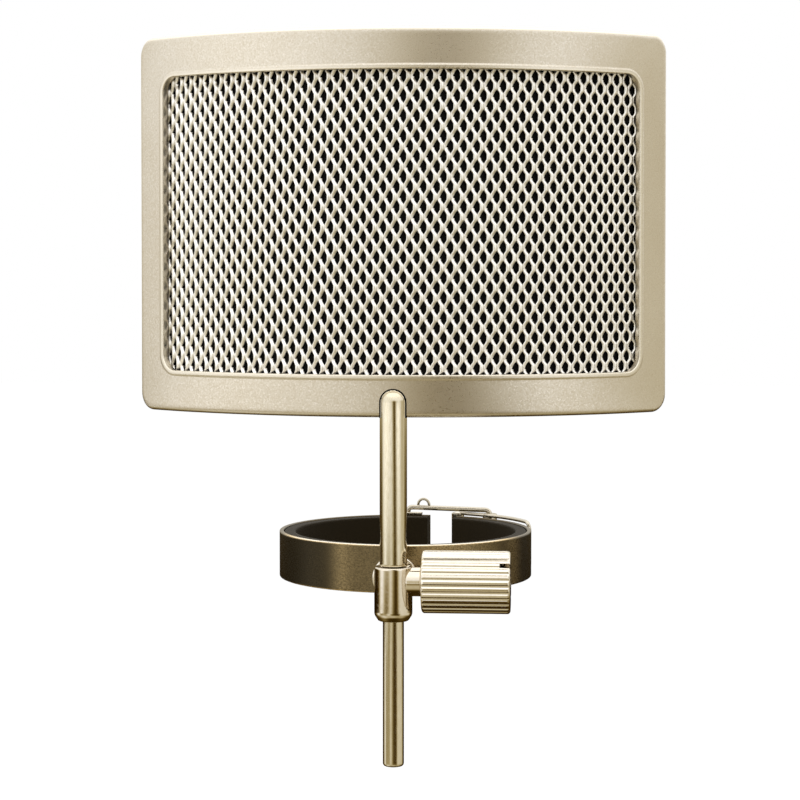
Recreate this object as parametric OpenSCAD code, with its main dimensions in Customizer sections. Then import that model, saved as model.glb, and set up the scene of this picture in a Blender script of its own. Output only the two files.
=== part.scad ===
// Curved metal mesh pop screen on a rod, held in front of a microphone by a
// rubber-lined spring ring with an over-centre wire latch.
// Millimetres. Origin: centre of the ring's bore at mid height. +Z up, the
// screen stands in front of the ring at -Y, the thumb knob points to +X.

/* [Ring clamp] */
// Diameter of the microphone body that the ring holds
mic_d = 50; // [44:0.5:58]
// Thickness of the rubber liner
liner_t = 2.65; // [1.5:0.05:3.5]
// Thickness of the spring band
band_t = 1; // [0.6:0.05:1.4]
// Height of the spring band
band_h = 10.4; // [9:0.1:12]
// How far the liner stays below the band's edges
liner_inset = 0.2; // [0.05:0.05:0.6]
// Width of the gap between the band's ends
gap_w = 7; // [5:0.1:9]
// Direction of the gap, in degrees from straight back towards +X
gap_at = 15.05; // [8:0.05:20]

/* [Latch] */
// How far the lever's pivot stands out over the gap
pivot_over = 0.85; // [0.2:0.05:1.2]
// Distance from the lever's pivot to the wire's pivot
lever_arm = 8.8; // [7.5:0.1:10]
// Thickness of the lever's strip
lever_t = 0.8; // [0.6:0.05:1.1]
// Length of the lever's handle round the band
handle_l = 13; // [10:0.5:20]
// Length of the handle's straight end
flare_l = 4; // [3:0.5:6]
// Outer diameter of the hinge knuckles
knuckle_d = 3; // [2.6:0.1:3.6]
// Outer diameter of the barrel that the wire turns in
barrel_d = 3.4; // [2.8:0.1:4]
// Diameter of the hinge pin
pin_d = 1.5; // [1.1:0.1:1.7]
// Height of the bracket's middle knuckle
knuckle_h = 4.8; // [3.6:0.2:6]
// How far the lever stands above and below the band
lever_proud = 0.5; // [0.3:0.1:0.9]
// Wire diameter of the bail
wire_d = 1.2; // [0.9:0.05:1.4]
// Bend radius of the bail's corners, at the wire's centre
wire_bend = 1.3; // [1:0.1:1.8]
// Distance of the keeper's throat from the band's left end
hook_inset = 5.5; // [4.5:0.1:7]
// Sheet thickness of the keeper and of the hinge bracket
plate_t = 0.65; // [0.5:0.05:0.8]
// Height of the keeper
keeper_h = 7.2; // [5:0.2:9]
// Slack round the wire in the keeper's throat
hook_slack = 0.6; // [0.5:0.05:0.8]
// Diameter of the latch rivets
latch_rivet_d = 1.2; // [0.8:0.1:1.4]

/* [Rod and collar] */
// Diameter of the rod that carries the screen
rod_upper_d = 5.8; // [5.2:0.1:7]
// How far that rod laps over the screen's lower rail
lap_l = 6.1; // [5.9:0.1:7.5]
// Diameter of the rod that runs in the collar
rod_lower_d = 4.5; // [4:0.1:5]
// Length of that rod below the shoulder
rod_lower_l = 42.6; // [36:0.2:50]
// Diameter of the spigot that the screen's rod turns on
spigot_d = 3.2; // [2.4:0.1:3.6]
// Length of the spigot
spigot_l = 9; // [5:0.5:14]
// Rounding of the rod's free end
rod_end_r = 0.8; // [0.3:0.1:1.5]
// Outer diameter of the collar
collar_d = 8.1; // [7.4:0.1:9]
// Length of the collar
collar_l = 11.5; // [9:0.1:14]
// Height of the collar's taper at its lower end
collar_taper = 1.3; // [0.6:0.1:2]
// Height of the collar's top above the ring's middle
collar_top = 1.6; // [0.5:0.1:3]
// Distance of the screw's axis below the collar's top
cross_drop = 3.2; // [3.15:0.05:4]
// Diameter of the collar's screw boss
boss_d = 6.2; // [5.4:0.1:6.3]
// Length of the screw boss beyond the collar
boss_l = 1.9; // [1:0.1:3]
// Diameter of the saddle between collar and band
saddle_d = 9.8; // [8:0.1:10.4]
// Thickness of the saddle at its middle
saddle_t = 2.3; // [2.2:0.1:4]
// Diameter of the stem between collar and saddle
stem_d = 5; // [4.4:0.1:5.4]
// Length of that stem
stem_l = 0.3; // [0.2:0.05:1]
// Diameter of the rivet that holds the collar
collar_rivet_d = 2.6; // [1.8:0.1:3]
// How far that rivet reaches into the collar
collar_rivet_in = 1; // [0.5:0.1:1.2]

/* [Thumb screw] */
// Diameter of the knob
knob_d = 13.2; // [10:0.1:14]
// Length of the knob
knob_l = 18.7; // [12:0.1:24]
// Number of flutes round the knob
flute_n = 30; // [20:1:40]
// Depth of the flutes
flute_depth = 0.35; // [0.2:0.05:0.5]
// Chamfer at the knob's ends
knob_chamfer = 0.6; // [0.3:0.1:1]
// Width of the coin slot
slot_w = 1.1; // [0.8:0.1:1.6]
// Depth of the coin slot
slot_depth = 2.2; // [1:0.1:3]
// Turn of the coin slot from upright, in degrees
slot_turn = 49; // [0:1:90]
// Diameter of the clamp stud
stud_d = 3.9; // [3:0.1:4.2]
// How far the stud reaches into the knob
stud_in = 9; // [5:0.5:11]

/* [Screen] */
// Radius of the screen's front
screen_r = 84; // [76:1:95]
// Width of the screen, straight across
screen_w = 117; // [105:1:126]
// Height of the screen
screen_h = 82.4; // [74:0.2:90]
// Height of the screen's lower edge above the ring's middle
screen_z = 33.2; // [26:0.2:42]
// Width of the frame's upper and lower rails
rail_w = 9; // [8.6:0.1:11]
// Width of the frame's side rails
stile_w = 8.3; // [7:0.1:11]
// Corner radius of the frame
corner_r = 4; // [2.5:0.1:6]
// Corner radius of the window
window_r = 3.6; // [2:0.1:6]
// Sheet thickness of the front frame
face_t = 0.9; // [0.6:0.05:1.2]
// Depth of the lip turned in round the window
lip_depth = 1.5; // [1.3:0.05:2]
// Sheet thickness of the rear frame
rear_t = 0.8; // [0.5:0.05:1.2]
// Width of the hem folded over the rear frame
hem_w = 2.2; // [1.5:0.1:3]
// How far the rod's flat lies in front of its axis
lap_offset = 1.4; // [1:0.1:1.8]
// Diameter of the rivet through the lower rail
rod_rivet_d = 2; // [1.4:0.1:2.4]

/* [Mesh] */
// Width of one diamond
mesh_pitch_w = 2.91; // [2.6:0.05:4]
// Height of one diamond
mesh_pitch_h = 4.27; // [3.6:0.05:6]
// Width of a strand
strand_w = 0.8; // [0.5:0.05:1]
// Thickness of a strand
strand_t = 0.5; // [0.3:0.05:0.7]
// How far the mesh and the filter reach under the frame
mesh_tuck = 3; // [1.5:0.1:3.4]
// Thickness of the filter cloth
filter_t = 0.5; // [0.3:0.05:1]

/* [Clearances] */
// Radial clearance of parts that turn or slide in each other
run_fit = 0.05; // [0.03:0.01:0.08]
// Gap between pieces that are laid or riveted together
seat_gap = 0.04; // [0.02:0.01:0.06]
// Gap between moving faces that stand opposite each other
face_gap = 0.15; // [0.1:0.05:0.3]
// Gap between the lever and the band
lever_gap = 0.3; // [0.25:0.05:0.5]
// Height of the gap under the bail's legs
bail_gap = 0.55; // [0.5:0.05:0.8]

/* [Hidden] */

nickel = "#d9d0bd";
champagne = "#cfc1a2";
bronze = "#9c8356";
rubber = "#26211e";
cloth = "#171514";

fine = 96;
small = 40;
over = 1;

// Ring
bore_r = mic_d / 2;
band_ir = bore_r + liner_t;
band_or = band_ir + band_t;
gap_half = asin(gap_w / 2 / band_or);
left_end = gap_at - gap_half;
right_end = gap_at + gap_half;
band_half = band_h / 2;
edge_break = band_t / 6;

// Latch, with directions measured from straight back towards +X
function band_deg(arc) = arc / band_or * 180 / PI;
function spot(turn, r) = [r * sin(turn), r * cos(turn)];
knuckle_r = knuckle_d / 2;
barrel_r = barrel_d / 2;
wire_r = wire_d / 2;
lever_ir = band_or + lever_gap;
handle_ir = lever_ir + 0.4 * lever_t;
pivot_r = lever_ir + knuckle_r;
barrel_at_r = lever_ir + barrel_r;
pivot_at = right_end - band_deg(pivot_over);
barrel_turn = acos((pivot_r * pivot_r + barrel_at_r * barrel_at_r - lever_arm * lever_arm)
                   / (2 * pivot_r * barrel_at_r));
barrel_at = pivot_at + barrel_turn;
handle_end = barrel_at + band_deg(handle_l);
throat_r = wire_r + hook_slack;
hook_at = left_end - band_deg(hook_inset);
hook_r = band_or + throat_r + seat_gap;
pivot_xy = spot(pivot_at, pivot_r);
barrel_xy = spot(barrel_at, barrel_at_r);
hook_xy = spot(hook_at, hook_r);
lever_half = band_half + lever_proud;
knuckle_half = knuckle_h / 2;
pin_gap = 0.1;
pin_head_t = 0.25;
pin_head_r = (knuckle_r + pin_d / 2) / 2;
bail_z = lever_half + bail_gap + wire_r;
bail_run = norm(barrel_xy - hook_xy);
bail_dir = atan2(barrel_xy[1] - hook_xy[1], barrel_xy[0] - hook_xy[0]);
bail_pin_l = lever_half - knuckle_half;
loop_wire_d = 0.9;
loop_r = 1.2;
loop_rise = 0.7;
loop_along = 4;
tongue_l = 0.3;
curl_start = 1.6;
rivet_head_t = 0.25;
rivet_head_r = 0.8 * latch_rivet_d;
arm_ir = band_or + plate_t + lever_gap + rivet_head_t;
foot_half = 4.2;
foot_start = pivot_at + band_deg(knuckle_r + face_gap + lever_gap);
foot_end = barrel_at - band_deg(barrel_r + lever_gap);
foot_rivet_at = (foot_start + foot_end) / 2;
keeper_end = left_end - band_deg(face_gap);
keeper_rivet_at = (keeper_end + hook_at + band_deg(throat_r + plate_t)) / 2;
rivet_rise = 0.3 * keeper_h;
strip_half = lever_half - 0.2;
knuckle_bite = 0.75 * knuckle_r;
barrel_bite = 0.5 * barrel_r;
flare_lap = 1.5;
flare_step = 0.1;

// Rod, collar and screw
rod_y = -(band_or + saddle_t + stem_l + collar_d / 2);
saddle_y = -(band_or + saddle_t);
collar_bottom = collar_top - collar_l;
cross_z = collar_top - cross_drop;
rod_bore_r = rod_lower_d / 2 + run_fit;
shoulder_z = collar_top + face_gap;
rod_top = screen_z + lap_l;
rod_bottom = shoulder_z - rod_lower_l;
boss_end = collar_d / 2 + boss_l;
knob_x = boss_end + face_gap;
knob_r = knob_d / 2;
flute_r = 0.55;
stud_tip = rod_bore_r;
stud_end = knob_x + stud_in;
collar_head_t = 0.8;
collar_head_d = 2 * collar_rivet_d;

// Screen
axis_y = rod_y - lap_offset + screen_r;
screen_half = screen_h / 2;
screen_mid_z = screen_z + screen_half;
screen_turn = asin(screen_w / 2 / screen_r);
front_mesh_r = screen_r - lip_depth - seat_gap;
layer_gap = 0.06;
mesh_t = 2 * strand_t + layer_gap;
mesh_seat = 0.15;
filter_r = front_mesh_r - mesh_t - mesh_seat;
rear_mesh_r = filter_r - filter_t - seat_gap;
rear_r = rear_mesh_r - mesh_t - mesh_seat;
rear_back_r = rear_r - rear_t;
hem_r = rear_back_r - seat_gap;
back_r = hem_r - face_t;
facet_turn = 6;
line_tol = 0.01;
rod_head_r = 0.8 * rod_rivet_d;
rod_head_t = 0.5;
rod_rivet_z = screen_z + hem_w + face_gap + rod_head_r;
rod_rivet_grip = 0.6;

// A strip bent concentric with the band, between two directions
module ring_strip(r0, r1, from, to, half_h) {
    rotate([0, 0, 90 - to])
        rotate_extrude(angle = to - from, $fn = fine)
            translate([r0, -half_h])
                square([r1 - r0, 2 * half_h]);
}

// Places children at a direction and radius, local +Y outward and local +X along the band
module on_ring(turn, r) {
    translate(concat(spot(turn, r), 0))
        rotate([0, 0, -turn])
            children();
}

// A low rounded rivet head on the plane z = 0
module domed_head(r, t) {
    crown_r = (r * r + t * t) / (2 * t);
    intersection() {
        cylinder(r = r, h = t, $fn = small);
        translate([0, 0, t - crown_r])
            sphere(r = crown_r, $fn = fine);
    }
}

// A rivet along the local Y: its head stands on y = 0 and its shank runs inward
module latch_rivet(grip) {
    rotate([90, 0, 0])
        cylinder(d = latch_rivet_d, h = grip, $fn = small);
    rotate([-90, 0, 0])
        domed_head(rivet_head_r, rivet_head_t);
}

module ring_band() {
    color(bronze)
        difference() {
            rotate([0, 0, 90 - left_end])
                rotate_extrude(angle = 360 - 2 * gap_half, $fn = fine)
                    polygon([
                        [band_ir, -band_half],
                        [band_or - edge_break, -band_half],
                        [band_or, -band_half + edge_break],
                        [band_or, band_half - edge_break],
                        [band_or - edge_break, band_half],
                        [band_ir, band_half]
                    ]);
            collar_rivet_hole();
            for (side = [-1, 1]) {
                rivet_hole(keeper_rivet_at, side * rivet_rise);
                rivet_hole(foot_rivet_at, side * rivet_rise);
            }
        }
}

// Hole for one latch rivet through the band and the plate on it
module rivet_hole(turn, z) {
    on_ring(turn, band_or)
        translate([0, 0, z])
            rotate([90, 0, 0])
                cylinder(d = latch_rivet_d + 2 * seat_gap, h = 2 * (band_t + plate_t), center = true, $fn = small);
}

// Hole for the collar's rivet, along Y through the band and the saddle
module collar_rivet_hole() {
    translate([0, saddle_y - collar_rivet_in - seat_gap, cross_z])
        rotate([-90, 0, 0])
            cylinder(d = collar_rivet_d + 2 * seat_gap,
                     h = saddle_t + band_t + collar_rivet_in + over, $fn = small);
}

module rubber_liner() {
    color(rubber)
        difference() {
            rotate([0, 0, 90 - left_end])
                rotate_extrude(angle = 360 - 2 * gap_half, $fn = fine)
                    translate([bore_r, -band_half + liner_inset])
                        square([liner_t - seat_gap, band_h - 2 * liner_inset]);
            collar_head(seat_gap);
        }
}

// Curved head of the collar's rivet, inside the band
module collar_head(grow) {
    intersection() {
        translate([0, -band_ir + liner_t, cross_z])
            rotate([90, 0, 0])
                cylinder(d = collar_head_d + 2 * grow, h = 2 * liner_t, $fn = small);
        difference() {
            cylinder(r = band_ir - seat_gap + grow, h = 2 * band_h, center = true, $fn = fine);
            cylinder(r = band_ir - seat_gap - collar_head_t - grow, h = 3 * band_h, center = true, $fn = fine);
        }
    }
}

module keeper_hook() {
    color(nickel)
        difference() {
            linear_extrude(height = keeper_h, center = true)
                keeper_outline();
            for (side = [-1, 1])
                rivet_hole(keeper_rivet_at, side * rivet_rise);
        }
}

// The keeper from above: a strip laid on the band that ends in a curl
module keeper_outline() {
    difference() {
        union() {
            intersection() {
                circle(r = band_or + seat_gap + plate_t, $fn = fine);
                polygon([
                    [0, 0],
                    spot(hook_at + band_deg(throat_r), 2 * band_or),
                    spot(keeper_end, 2 * band_or)
                ]);
            }
            on_ring(hook_at, hook_r)
                keeper_curl();
        }
        circle(r = band_or + seat_gap, $fn = fine);
    }
}

// Half ring open to the left, with a short straight tongue, that rises a little away from the throat's floor
module keeper_curl() {
    difference() {
        union() {
            intersection() {
                circle(r = throat_r + plate_t, $fn = small);
                translate([0, -2 * throat_r])
                    square([2 * throat_r, 4 * throat_r]);
            }
            translate([-tongue_l, 0])
                square([tongue_l + throat_r / 2, throat_r + plate_t]);
        }
        circle(r = throat_r, $fn = small);
        translate([-2 * throat_r, -throat_r])
            square([2 * throat_r, 2 * throat_r]);
        translate([-throat_r, -2 * throat_r])
            square([curl_start * throat_r, 2 * throat_r]);
    }
}

module keeper_rivets() {
    color(nickel)
        for (side = [-1, 1])
            plate_rivet(keeper_rivet_at, side * rivet_rise);
}

module bracket_rivets() {
    color(nickel)
        for (side = [-1, 1])
            plate_rivet(foot_rivet_at, side * rivet_rise);
}

// A rivet whose head seats on a plate on the band
module plate_rivet(turn, z) {
    on_ring(turn, band_or + plate_t + 2 * seat_gap)
        translate([0, 0, z])
            latch_rivet(plate_t + band_t - seat_gap);
}

module lever_bracket() {
    color(nickel)
        difference() {
            union() {
                ring_strip(band_or + seat_gap, band_or + seat_gap + plate_t, foot_start, foot_end, foot_half);
                ring_strip(band_or + seat_gap, band_or + seat_gap + plate_t,
                           pivot_at, foot_start + band_deg(plate_t), knuckle_half);
                translate(pivot_xy)
                    cylinder(r = knuckle_r, h = knuckle_h, center = true, $fn = small);
            }
            translate(pivot_xy)
                cylinder(d = pin_d + 2 * seat_gap, h = 2 * knuckle_h, center = true, $fn = small);
            cylinder(r = band_or + seat_gap, h = 2 * band_h, center = true, $fn = fine);
            for (side = [-1, 1])
                rivet_hole(foot_rivet_at, side * rivet_rise);
        }
}

module lever_pin() {
    color(nickel)
        translate(pivot_xy) {
            cylinder(d = pin_d, h = 2 * (lever_half + pin_gap), center = true, $fn = small);
            for (side = [0, 1])
                mirror([0, 0, side])
                    translate([0, 0, lever_half + pin_gap])
                        domed_head(pin_head_r, pin_head_t);
        }
}

module latch_lever() {
    color(nickel)
        difference() {
            union() {
                ring_strip(arm_ir, arm_ir + lever_t, pivot_at + band_deg(knuckle_bite),
                           barrel_at - band_deg(barrel_bite), strip_half);
                ring_strip(handle_ir, handle_ir + lever_t, barrel_at + band_deg(barrel_bite), handle_end, strip_half);
                lever_flare();
                translate(pivot_xy)
                    cylinder(r = knuckle_r, h = 2 * lever_half, center = true, $fn = small);
                translate(barrel_xy)
                    cylinder(r = barrel_r, h = 2 * lever_half, center = true, $fn = small);
            }
            translate(pivot_xy) {
                cylinder(d = pin_d + 2 * run_fit, h = 3 * lever_half, center = true, $fn = small);
                cylinder(r = knuckle_r + lever_gap, h = knuckle_h + 2 * face_gap, center = true, $fn = small);
            }
            for (side = [0, 1])
                mirror([0, 0, side])
                    translate(concat(barrel_xy, lever_half - bail_pin_l))
                        cylinder(d = wire_d + 2 * run_fit, h = bail_pin_l + over, $fn = small);
        }
}

// The handle's end runs on straight, so that a finger gets under it
module lever_flare() {
    flare_half = strip_half - flare_step;
    on_ring(handle_end, handle_ir)
        translate([-flare_lap, flare_step, -flare_half])
            cube([flare_lap + flare_l, lever_t, 2 * flare_half]);
}

// A round wire along +X
module wire(length, d) {
    rotate([0, 90, 0])
        cylinder(d = d, h = length, $fn = small);
}

module wire_bail() {
    leg = bail_run - 2 * wire_bend;
    drop = bail_z - wire_bend;
    color(nickel)
        translate(hook_xy)
            rotate([0, 0, bail_dir]) {
                cylinder(d = wire_d, h = 2 * drop, center = true, $fn = small);
                for (side = [0, 1])
                    mirror([0, 0, side]) {
                        translate([wire_bend, 0, bail_z])
                            wire(leg, wire_d);
                        translate([wire_bend, 0, drop])
                            bail_corner(90);
                        translate([bail_run - wire_bend, 0, drop])
                            bail_corner(0);
                        translate([bail_run, 0, lever_half - bail_pin_l + face_gap])
                            cylinder(d = wire_d, h = drop - lever_half + bail_pin_l - face_gap, $fn = small);
                    }
                translate([loop_along, 0, bail_z])
                    bail_loop();
            }
}

// The finger loop: an arch of thinner wire on the bail's upper leg
module bail_loop() {
    for (side = [-1, 1])
        translate([side * loop_r, 0, 0])
            cylinder(d = loop_wire_d, h = loop_rise, $fn = small);
    translate([0, 0, loop_rise])
        rotate([90, 0, 0])
            rotate_extrude(angle = 180, $fn = fine)
                translate([loop_r, 0])
                    circle(d = loop_wire_d, $fn = small);
}

// A quarter bend of the bail's wire, from the given angle in its upright plane
module bail_corner(from) {
    rotate([90, 0, 0])
        rotate([0, 0, from])
            rotate_extrude(angle = 90, $fn = fine)
                translate([wire_bend, 0])
                    circle(d = wire_d, $fn = small);
}

module saddle_washer() {
    color(nickel)
        difference() {
            translate([0, saddle_y + seat_gap, cross_z])
                rotate([-90, 0, 0])
                    cylinder(d = saddle_d, h = band_or, $fn = fine);
            cylinder(r = band_or + seat_gap, h = 3 * band_h, center = true, $fn = fine);
            translate([0, bore_r, 0])
                cube([2 * band_or, 2 * band_or, 3 * band_h], center = true);
            collar_rivet_hole();
        }
}

module collar_rivet() {
    color(nickel)
        union() {
            collar_head(0);
            difference() {
                translate([0, saddle_y - collar_rivet_in, cross_z])
                    rotate([-90, 0, 0])
                        cylinder(d = collar_rivet_d, h = collar_rivet_in + saddle_t + band_t + collar_head_t,
                                 $fn = small);
                cylinder(r = band_ir - seat_gap - collar_head_t, h = 2 * band_h, center = true, $fn = fine);
            }
        }
}

module collar() {
    color(nickel)
        difference() {
            union() {
                translate([0, rod_y, collar_bottom])
                    rotate_extrude($fn = fine)
                        collar_profile();
                translate([0, rod_y, cross_z]) {
                    rotate([-90, 0, 0])
                        cylinder(d = stem_d, h = collar_d / 2 + stem_l, $fn = fine);
                    rotate([0, 90, 0])
                        cylinder(d = boss_d, h = boss_end, $fn = fine);
                }
            }
            translate([0, rod_y, collar_bottom - over])
                cylinder(r = rod_bore_r, h = collar_l + 2 * over, $fn = fine);
            translate([0, rod_y, cross_z])
                rotate([0, 90, 0])
                    cylinder(d = stud_d + 2 * run_fit, h = boss_end + over, $fn = fine);
            collar_rivet_hole();
        }
}

// Half section of the collar: straight wall, tapered lower end, broken upper edge
module collar_profile() {
    rim = 0.3;
    foot_r = (collar_d / 2 + rod_bore_r) / 2;
    polygon([
        [0, 0],
        [foot_r, 0],
        [collar_d / 2, collar_taper],
        [collar_d / 2, collar_l - rim],
        [collar_d / 2 - rim, collar_l],
        [0, collar_l]
    ]);
}

module clamp_stud() {
    color(nickel)
        translate([stud_tip, rod_y, cross_z])
            rotate([0, 90, 0])
                cylinder(d = stud_d, h = stud_end - stud_tip, $fn = fine);
}

module thumb_knob() {
    color(nickel)
        translate([knob_x, rod_y, cross_z])
            rotate([0, 90, 0])
                difference() {
                    rotate_extrude($fn = fine)
                        polygon([
                            [0, 0],
                            [knob_r - knob_chamfer, 0],
                            [knob_r, knob_chamfer],
                            [knob_r, knob_l - knob_chamfer],
                            [knob_r - knob_chamfer, knob_l],
                            [0, knob_l]
                        ]);
                    for (i = [0 : flute_n - 1])
                        rotate([0, 0, i * 360 / flute_n])
                            translate([knob_r + flute_r - flute_depth, 0, -over])
                                cylinder(r = flute_r, h = knob_l + 2 * over, $fn = small);
                    translate([0, 0, -over])
                        cylinder(d = stud_d + 2 * run_fit, h = stud_in + face_gap + over, $fn = fine);
                    translate([0, 0, knob_l])
                        rotate([0, 0, slot_turn])
                            cube([2 * knob_d, slot_w, 2 * slot_depth], center = true);
                }
}

module rod_lower() {
    color(nickel)
        translate([0, rod_y, rod_bottom])
            rotate_extrude($fn = fine)
                union() {
                    square([rod_lower_d / 2 - rod_end_r, rod_lower_l - face_gap]);
                    translate([0, rod_end_r])
                        square([rod_lower_d / 2, rod_lower_l - face_gap - rod_end_r]);
                    intersection() {
                        translate([rod_lower_d / 2 - rod_end_r, rod_end_r])
                            circle(r = rod_end_r, $fn = small);
                        square(rod_lower_d / 2);
                    }
                    square([spigot_d / 2, rod_lower_l + spigot_l]);
                }
}

module rod_upper() {
    r = rod_upper_d / 2;
    color(nickel)
        difference() {
            translate([0, rod_y, 0]) {
                translate([0, 0, shoulder_z])
                    cylinder(r = r, h = rod_top - r - shoulder_z, $fn = fine);
                translate([0, 0, rod_top - r])
                    sphere(r = r, $fn = fine);
            }
            translate([0, rod_y, shoulder_z - over])
                cylinder(d = spigot_d + 2 * run_fit, h = spigot_l + face_gap + over, $fn = fine);
            translate([0, axis_y, screen_z - seat_gap])
                cylinder(r = screen_r + seat_gap, h = screen_h, $fn = 4 * fine);
            rod_rivet_hole();
        }
}

// Hole for the rivet through the lower rail and into the rod's lap
module rod_rivet_hole() {
    translate([0, rod_y - lap_offset - rod_rivet_grip - seat_gap, rod_rivet_z])
        rotate([-90, 0, 0])
            cylinder(d = rod_rivet_d + 2 * seat_gap, h = screen_r - back_r + 2 * over, $fn = small);
}

module rod_rivet() {
    back_y = axis_y - rear_back_r + seat_gap;
    color(nickel)
        translate([0, 0, rod_rivet_z])
            rotate([-90, 0, 0]) {
                translate([0, 0, rod_y - lap_offset - rod_rivet_grip])
                    cylinder(d = rod_rivet_d, h = back_y - rod_y + lap_offset + rod_rivet_grip, $fn = small);
                translate([0, 0, back_y])
                    domed_head(rod_head_r, rod_head_t);
            }
}

// One end of the screen's outline: a tall plate, rounded at one side, through the curved wall
module end_outline(side, inset_w, inset_h, r) {
    reach = 2 * screen_w;
    half = screen_half - inset_h;
    turn = screen_turn - (inset_w + r) / screen_r * 180 / PI;
    rotate([0, 0, side * turn])
        rotate([90, 0, 0])
            linear_extrude(height = 2 * (screen_r + over), center = true)
                mirror([side < 0 ? 1 : 0, 0])
                    union() {
                        translate([-reach, -half])
                            square([reach, 2 * half]);
                        translate([-reach, -half + r])
                            square([reach + r, 2 * (half - r)]);
                        for (up = [-1, 1])
                            translate([0, up * (half - r)])
                                circle(r = r, $fn = small);
                    }
}

// A curved wall between two radii, cut to the screen's outline less an inset
module curved_wall(r0, r1, inset_w, inset_h, r) {
    intersection() {
        difference() {
            cylinder(r = r1, h = 2 * screen_h, center = true, $fn = 4 * fine);
            cylinder(r = r0, h = 3 * screen_h, center = true, $fn = 4 * fine);
            translate([0, screen_r, 0])
                cube([3 * screen_r, 2 * screen_r, 3 * screen_h], center = true);
        }
        end_outline(1, inset_w, inset_h, r);
        end_outline(-1, inset_w, inset_h, r);
    }
}

// Moves the screen's pieces to their place on the rod
module on_screen() {
    translate([0, axis_y, screen_mid_z])
        children();
}

module front_frame() {
    color(champagne)
        difference() {
            on_screen()
                difference() {
                    curved_wall(back_r, screen_r, 0, 0, corner_r);
                    difference() {
                        curved_wall(hem_r, screen_r - face_t, face_t, face_t, corner_r - face_t);
                        curved_wall(screen_r - lip_depth, screen_r, stile_w - face_t, rail_w - face_t,
                                    window_r + face_t);
                    }
                    curved_wall(back_r - over, hem_r + over, hem_w, hem_w, corner_r / 2);
                    curved_wall(back_r - over, screen_r + over, stile_w, rail_w, window_r);
                }
            rod_rivet_hole();
        }
}

module rear_frame() {
    inset = face_t + seat_gap;
    color(champagne)
        difference() {
            on_screen()
                difference() {
                    curved_wall(rear_back_r, rear_r, inset, inset, corner_r - inset);
                    curved_wall(rear_back_r - over, rear_r + over, stile_w, rail_w, window_r);
                }
            rod_rivet_hole();
        }
}

module filter_sheet() {
    color(cloth)
        on_screen()
            curved_wall(filter_r - filter_t, filter_r, stile_w - mesh_tuck, rail_w - mesh_tuck, window_r);
}

// One family of parallel strands climbs to the right round the curve. Each strand
// has a ring of four corners wherever it crosses an upright line of the facet grid.
module strand_family(r) {
    slope = mesh_pitch_w / mesh_pitch_h;
    tall = strand_w * sqrt(1 + 1 / (slope * slope)) / 2;
    half_h = screen_half - rail_w + mesh_tuck - tall;
    half_w = screen_turn * PI / 180 * screen_r - stile_w + mesh_tuck;
    grid = facet_turn * PI / 180 * screen_r;
    count = floor((half_w + slope * half_h) / mesh_pitch_w);
    for (i = [-count : count]) {
        u0 = i * mesh_pitch_w;
        low = -short_of_line(-max(u0 - slope * half_h, -half_w), grid);
        high = short_of_line(min(u0 + slope * half_h, half_w), grid);
        first = floor(low / grid + line_tol) + 1;
        stops = [low, for (k = [first : 1 : ceil(high / grid - line_tol) - 1]) k * grid, high];
        if (high - low > mesh_pitch_w)
            strand([for (u = stops) [u, (u - u0) / slope]], tall, r);
    }
}

// A strand that would end just past a line of the facet grid ends on that line
function short_of_line(u, grid) =
    let (line = floor(u / grid) * grid)
    u - line < strand_w ? line : u;

// A flat strand along points of the unrolled screen, cut off upright at its ends
module strand(path, tall, r) {
    last = 4 * (len(path) - 1);
    ring = [[tall, r], [-tall, r], [-tall, r - strand_t], [tall, r - strand_t]];
    points = [for (p = path) for (c = ring) curve_point(p[0], c[1], p[1] + c[0])];
    sides = [for (base = [0 : 4 : last - 4]) for (face = faces_between(base)) face];
    polyhedron(points = points, faces = concat(sides, [[0, 1, 2, 3], [last + 3, last + 2, last + 1, last]]));
}

// Front and back from one ring of corners to the next, and the two twisted edges as triangles
function faces_between(b) = [
    [b, b + 4, b + 5, b + 1],
    [b + 2, b + 6, b + 7, b + 3],
    [b + 1, b + 5, b + 2],
    [b + 2, b + 5, b + 6],
    [b + 3, b + 7, b],
    [b, b + 7, b + 4]
];

// A point at an arc length from the middle of the screen's front, on flat facets inside the curve
function curve_point(u, r, z) =
    let (turn = u / screen_r * 180 / PI,
         off = turn - facet_turn * (floor(turn / facet_turn) + 0.5),
         flat_r = r * cos(facet_turn / 2) / cos(off))
    [flat_r * sin(turn), -flat_r * cos(turn), z];

module mesh_panel(r) {
    on_screen() {
        strand_family(r);
        mirror([1, 0, 0])
            strand_family(r - strand_t - layer_gap);
    }
}

module front_mesh() {
    color(champagne)
        mesh_panel(front_mesh_r);
}

module rear_mesh() {
    color(champagne)
        mesh_panel(rear_mesh_r);
}

ring_band();
rubber_liner();
keeper_hook();
keeper_rivets();
lever_bracket();
bracket_rivets();
lever_pin();
latch_lever();
wire_bail();
saddle_washer();
collar_rivet();
collar();
clamp_stud();
thumb_knob();
rod_lower();
rod_upper();
rod_rivet();
front_frame();
front_mesh();
filter_sheet();
rear_mesh();
rear_frame();
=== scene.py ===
"""A clip-on curved mesh pop screen with a latching ring clamp, in its metals, rubber and cloth.

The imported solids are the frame. Each visible form is worked out here as a smooth surface from the
same sizes, in millimetres and in the part's own frame: the origin is the centre of the ring's bore,
+Z is up, the screen stands at -Y and the thumb knob points to +X.
"""
import logging
import math
from collections.abc import Mapping, Sequence
from dataclasses import dataclass, field
from enum import Enum

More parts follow.
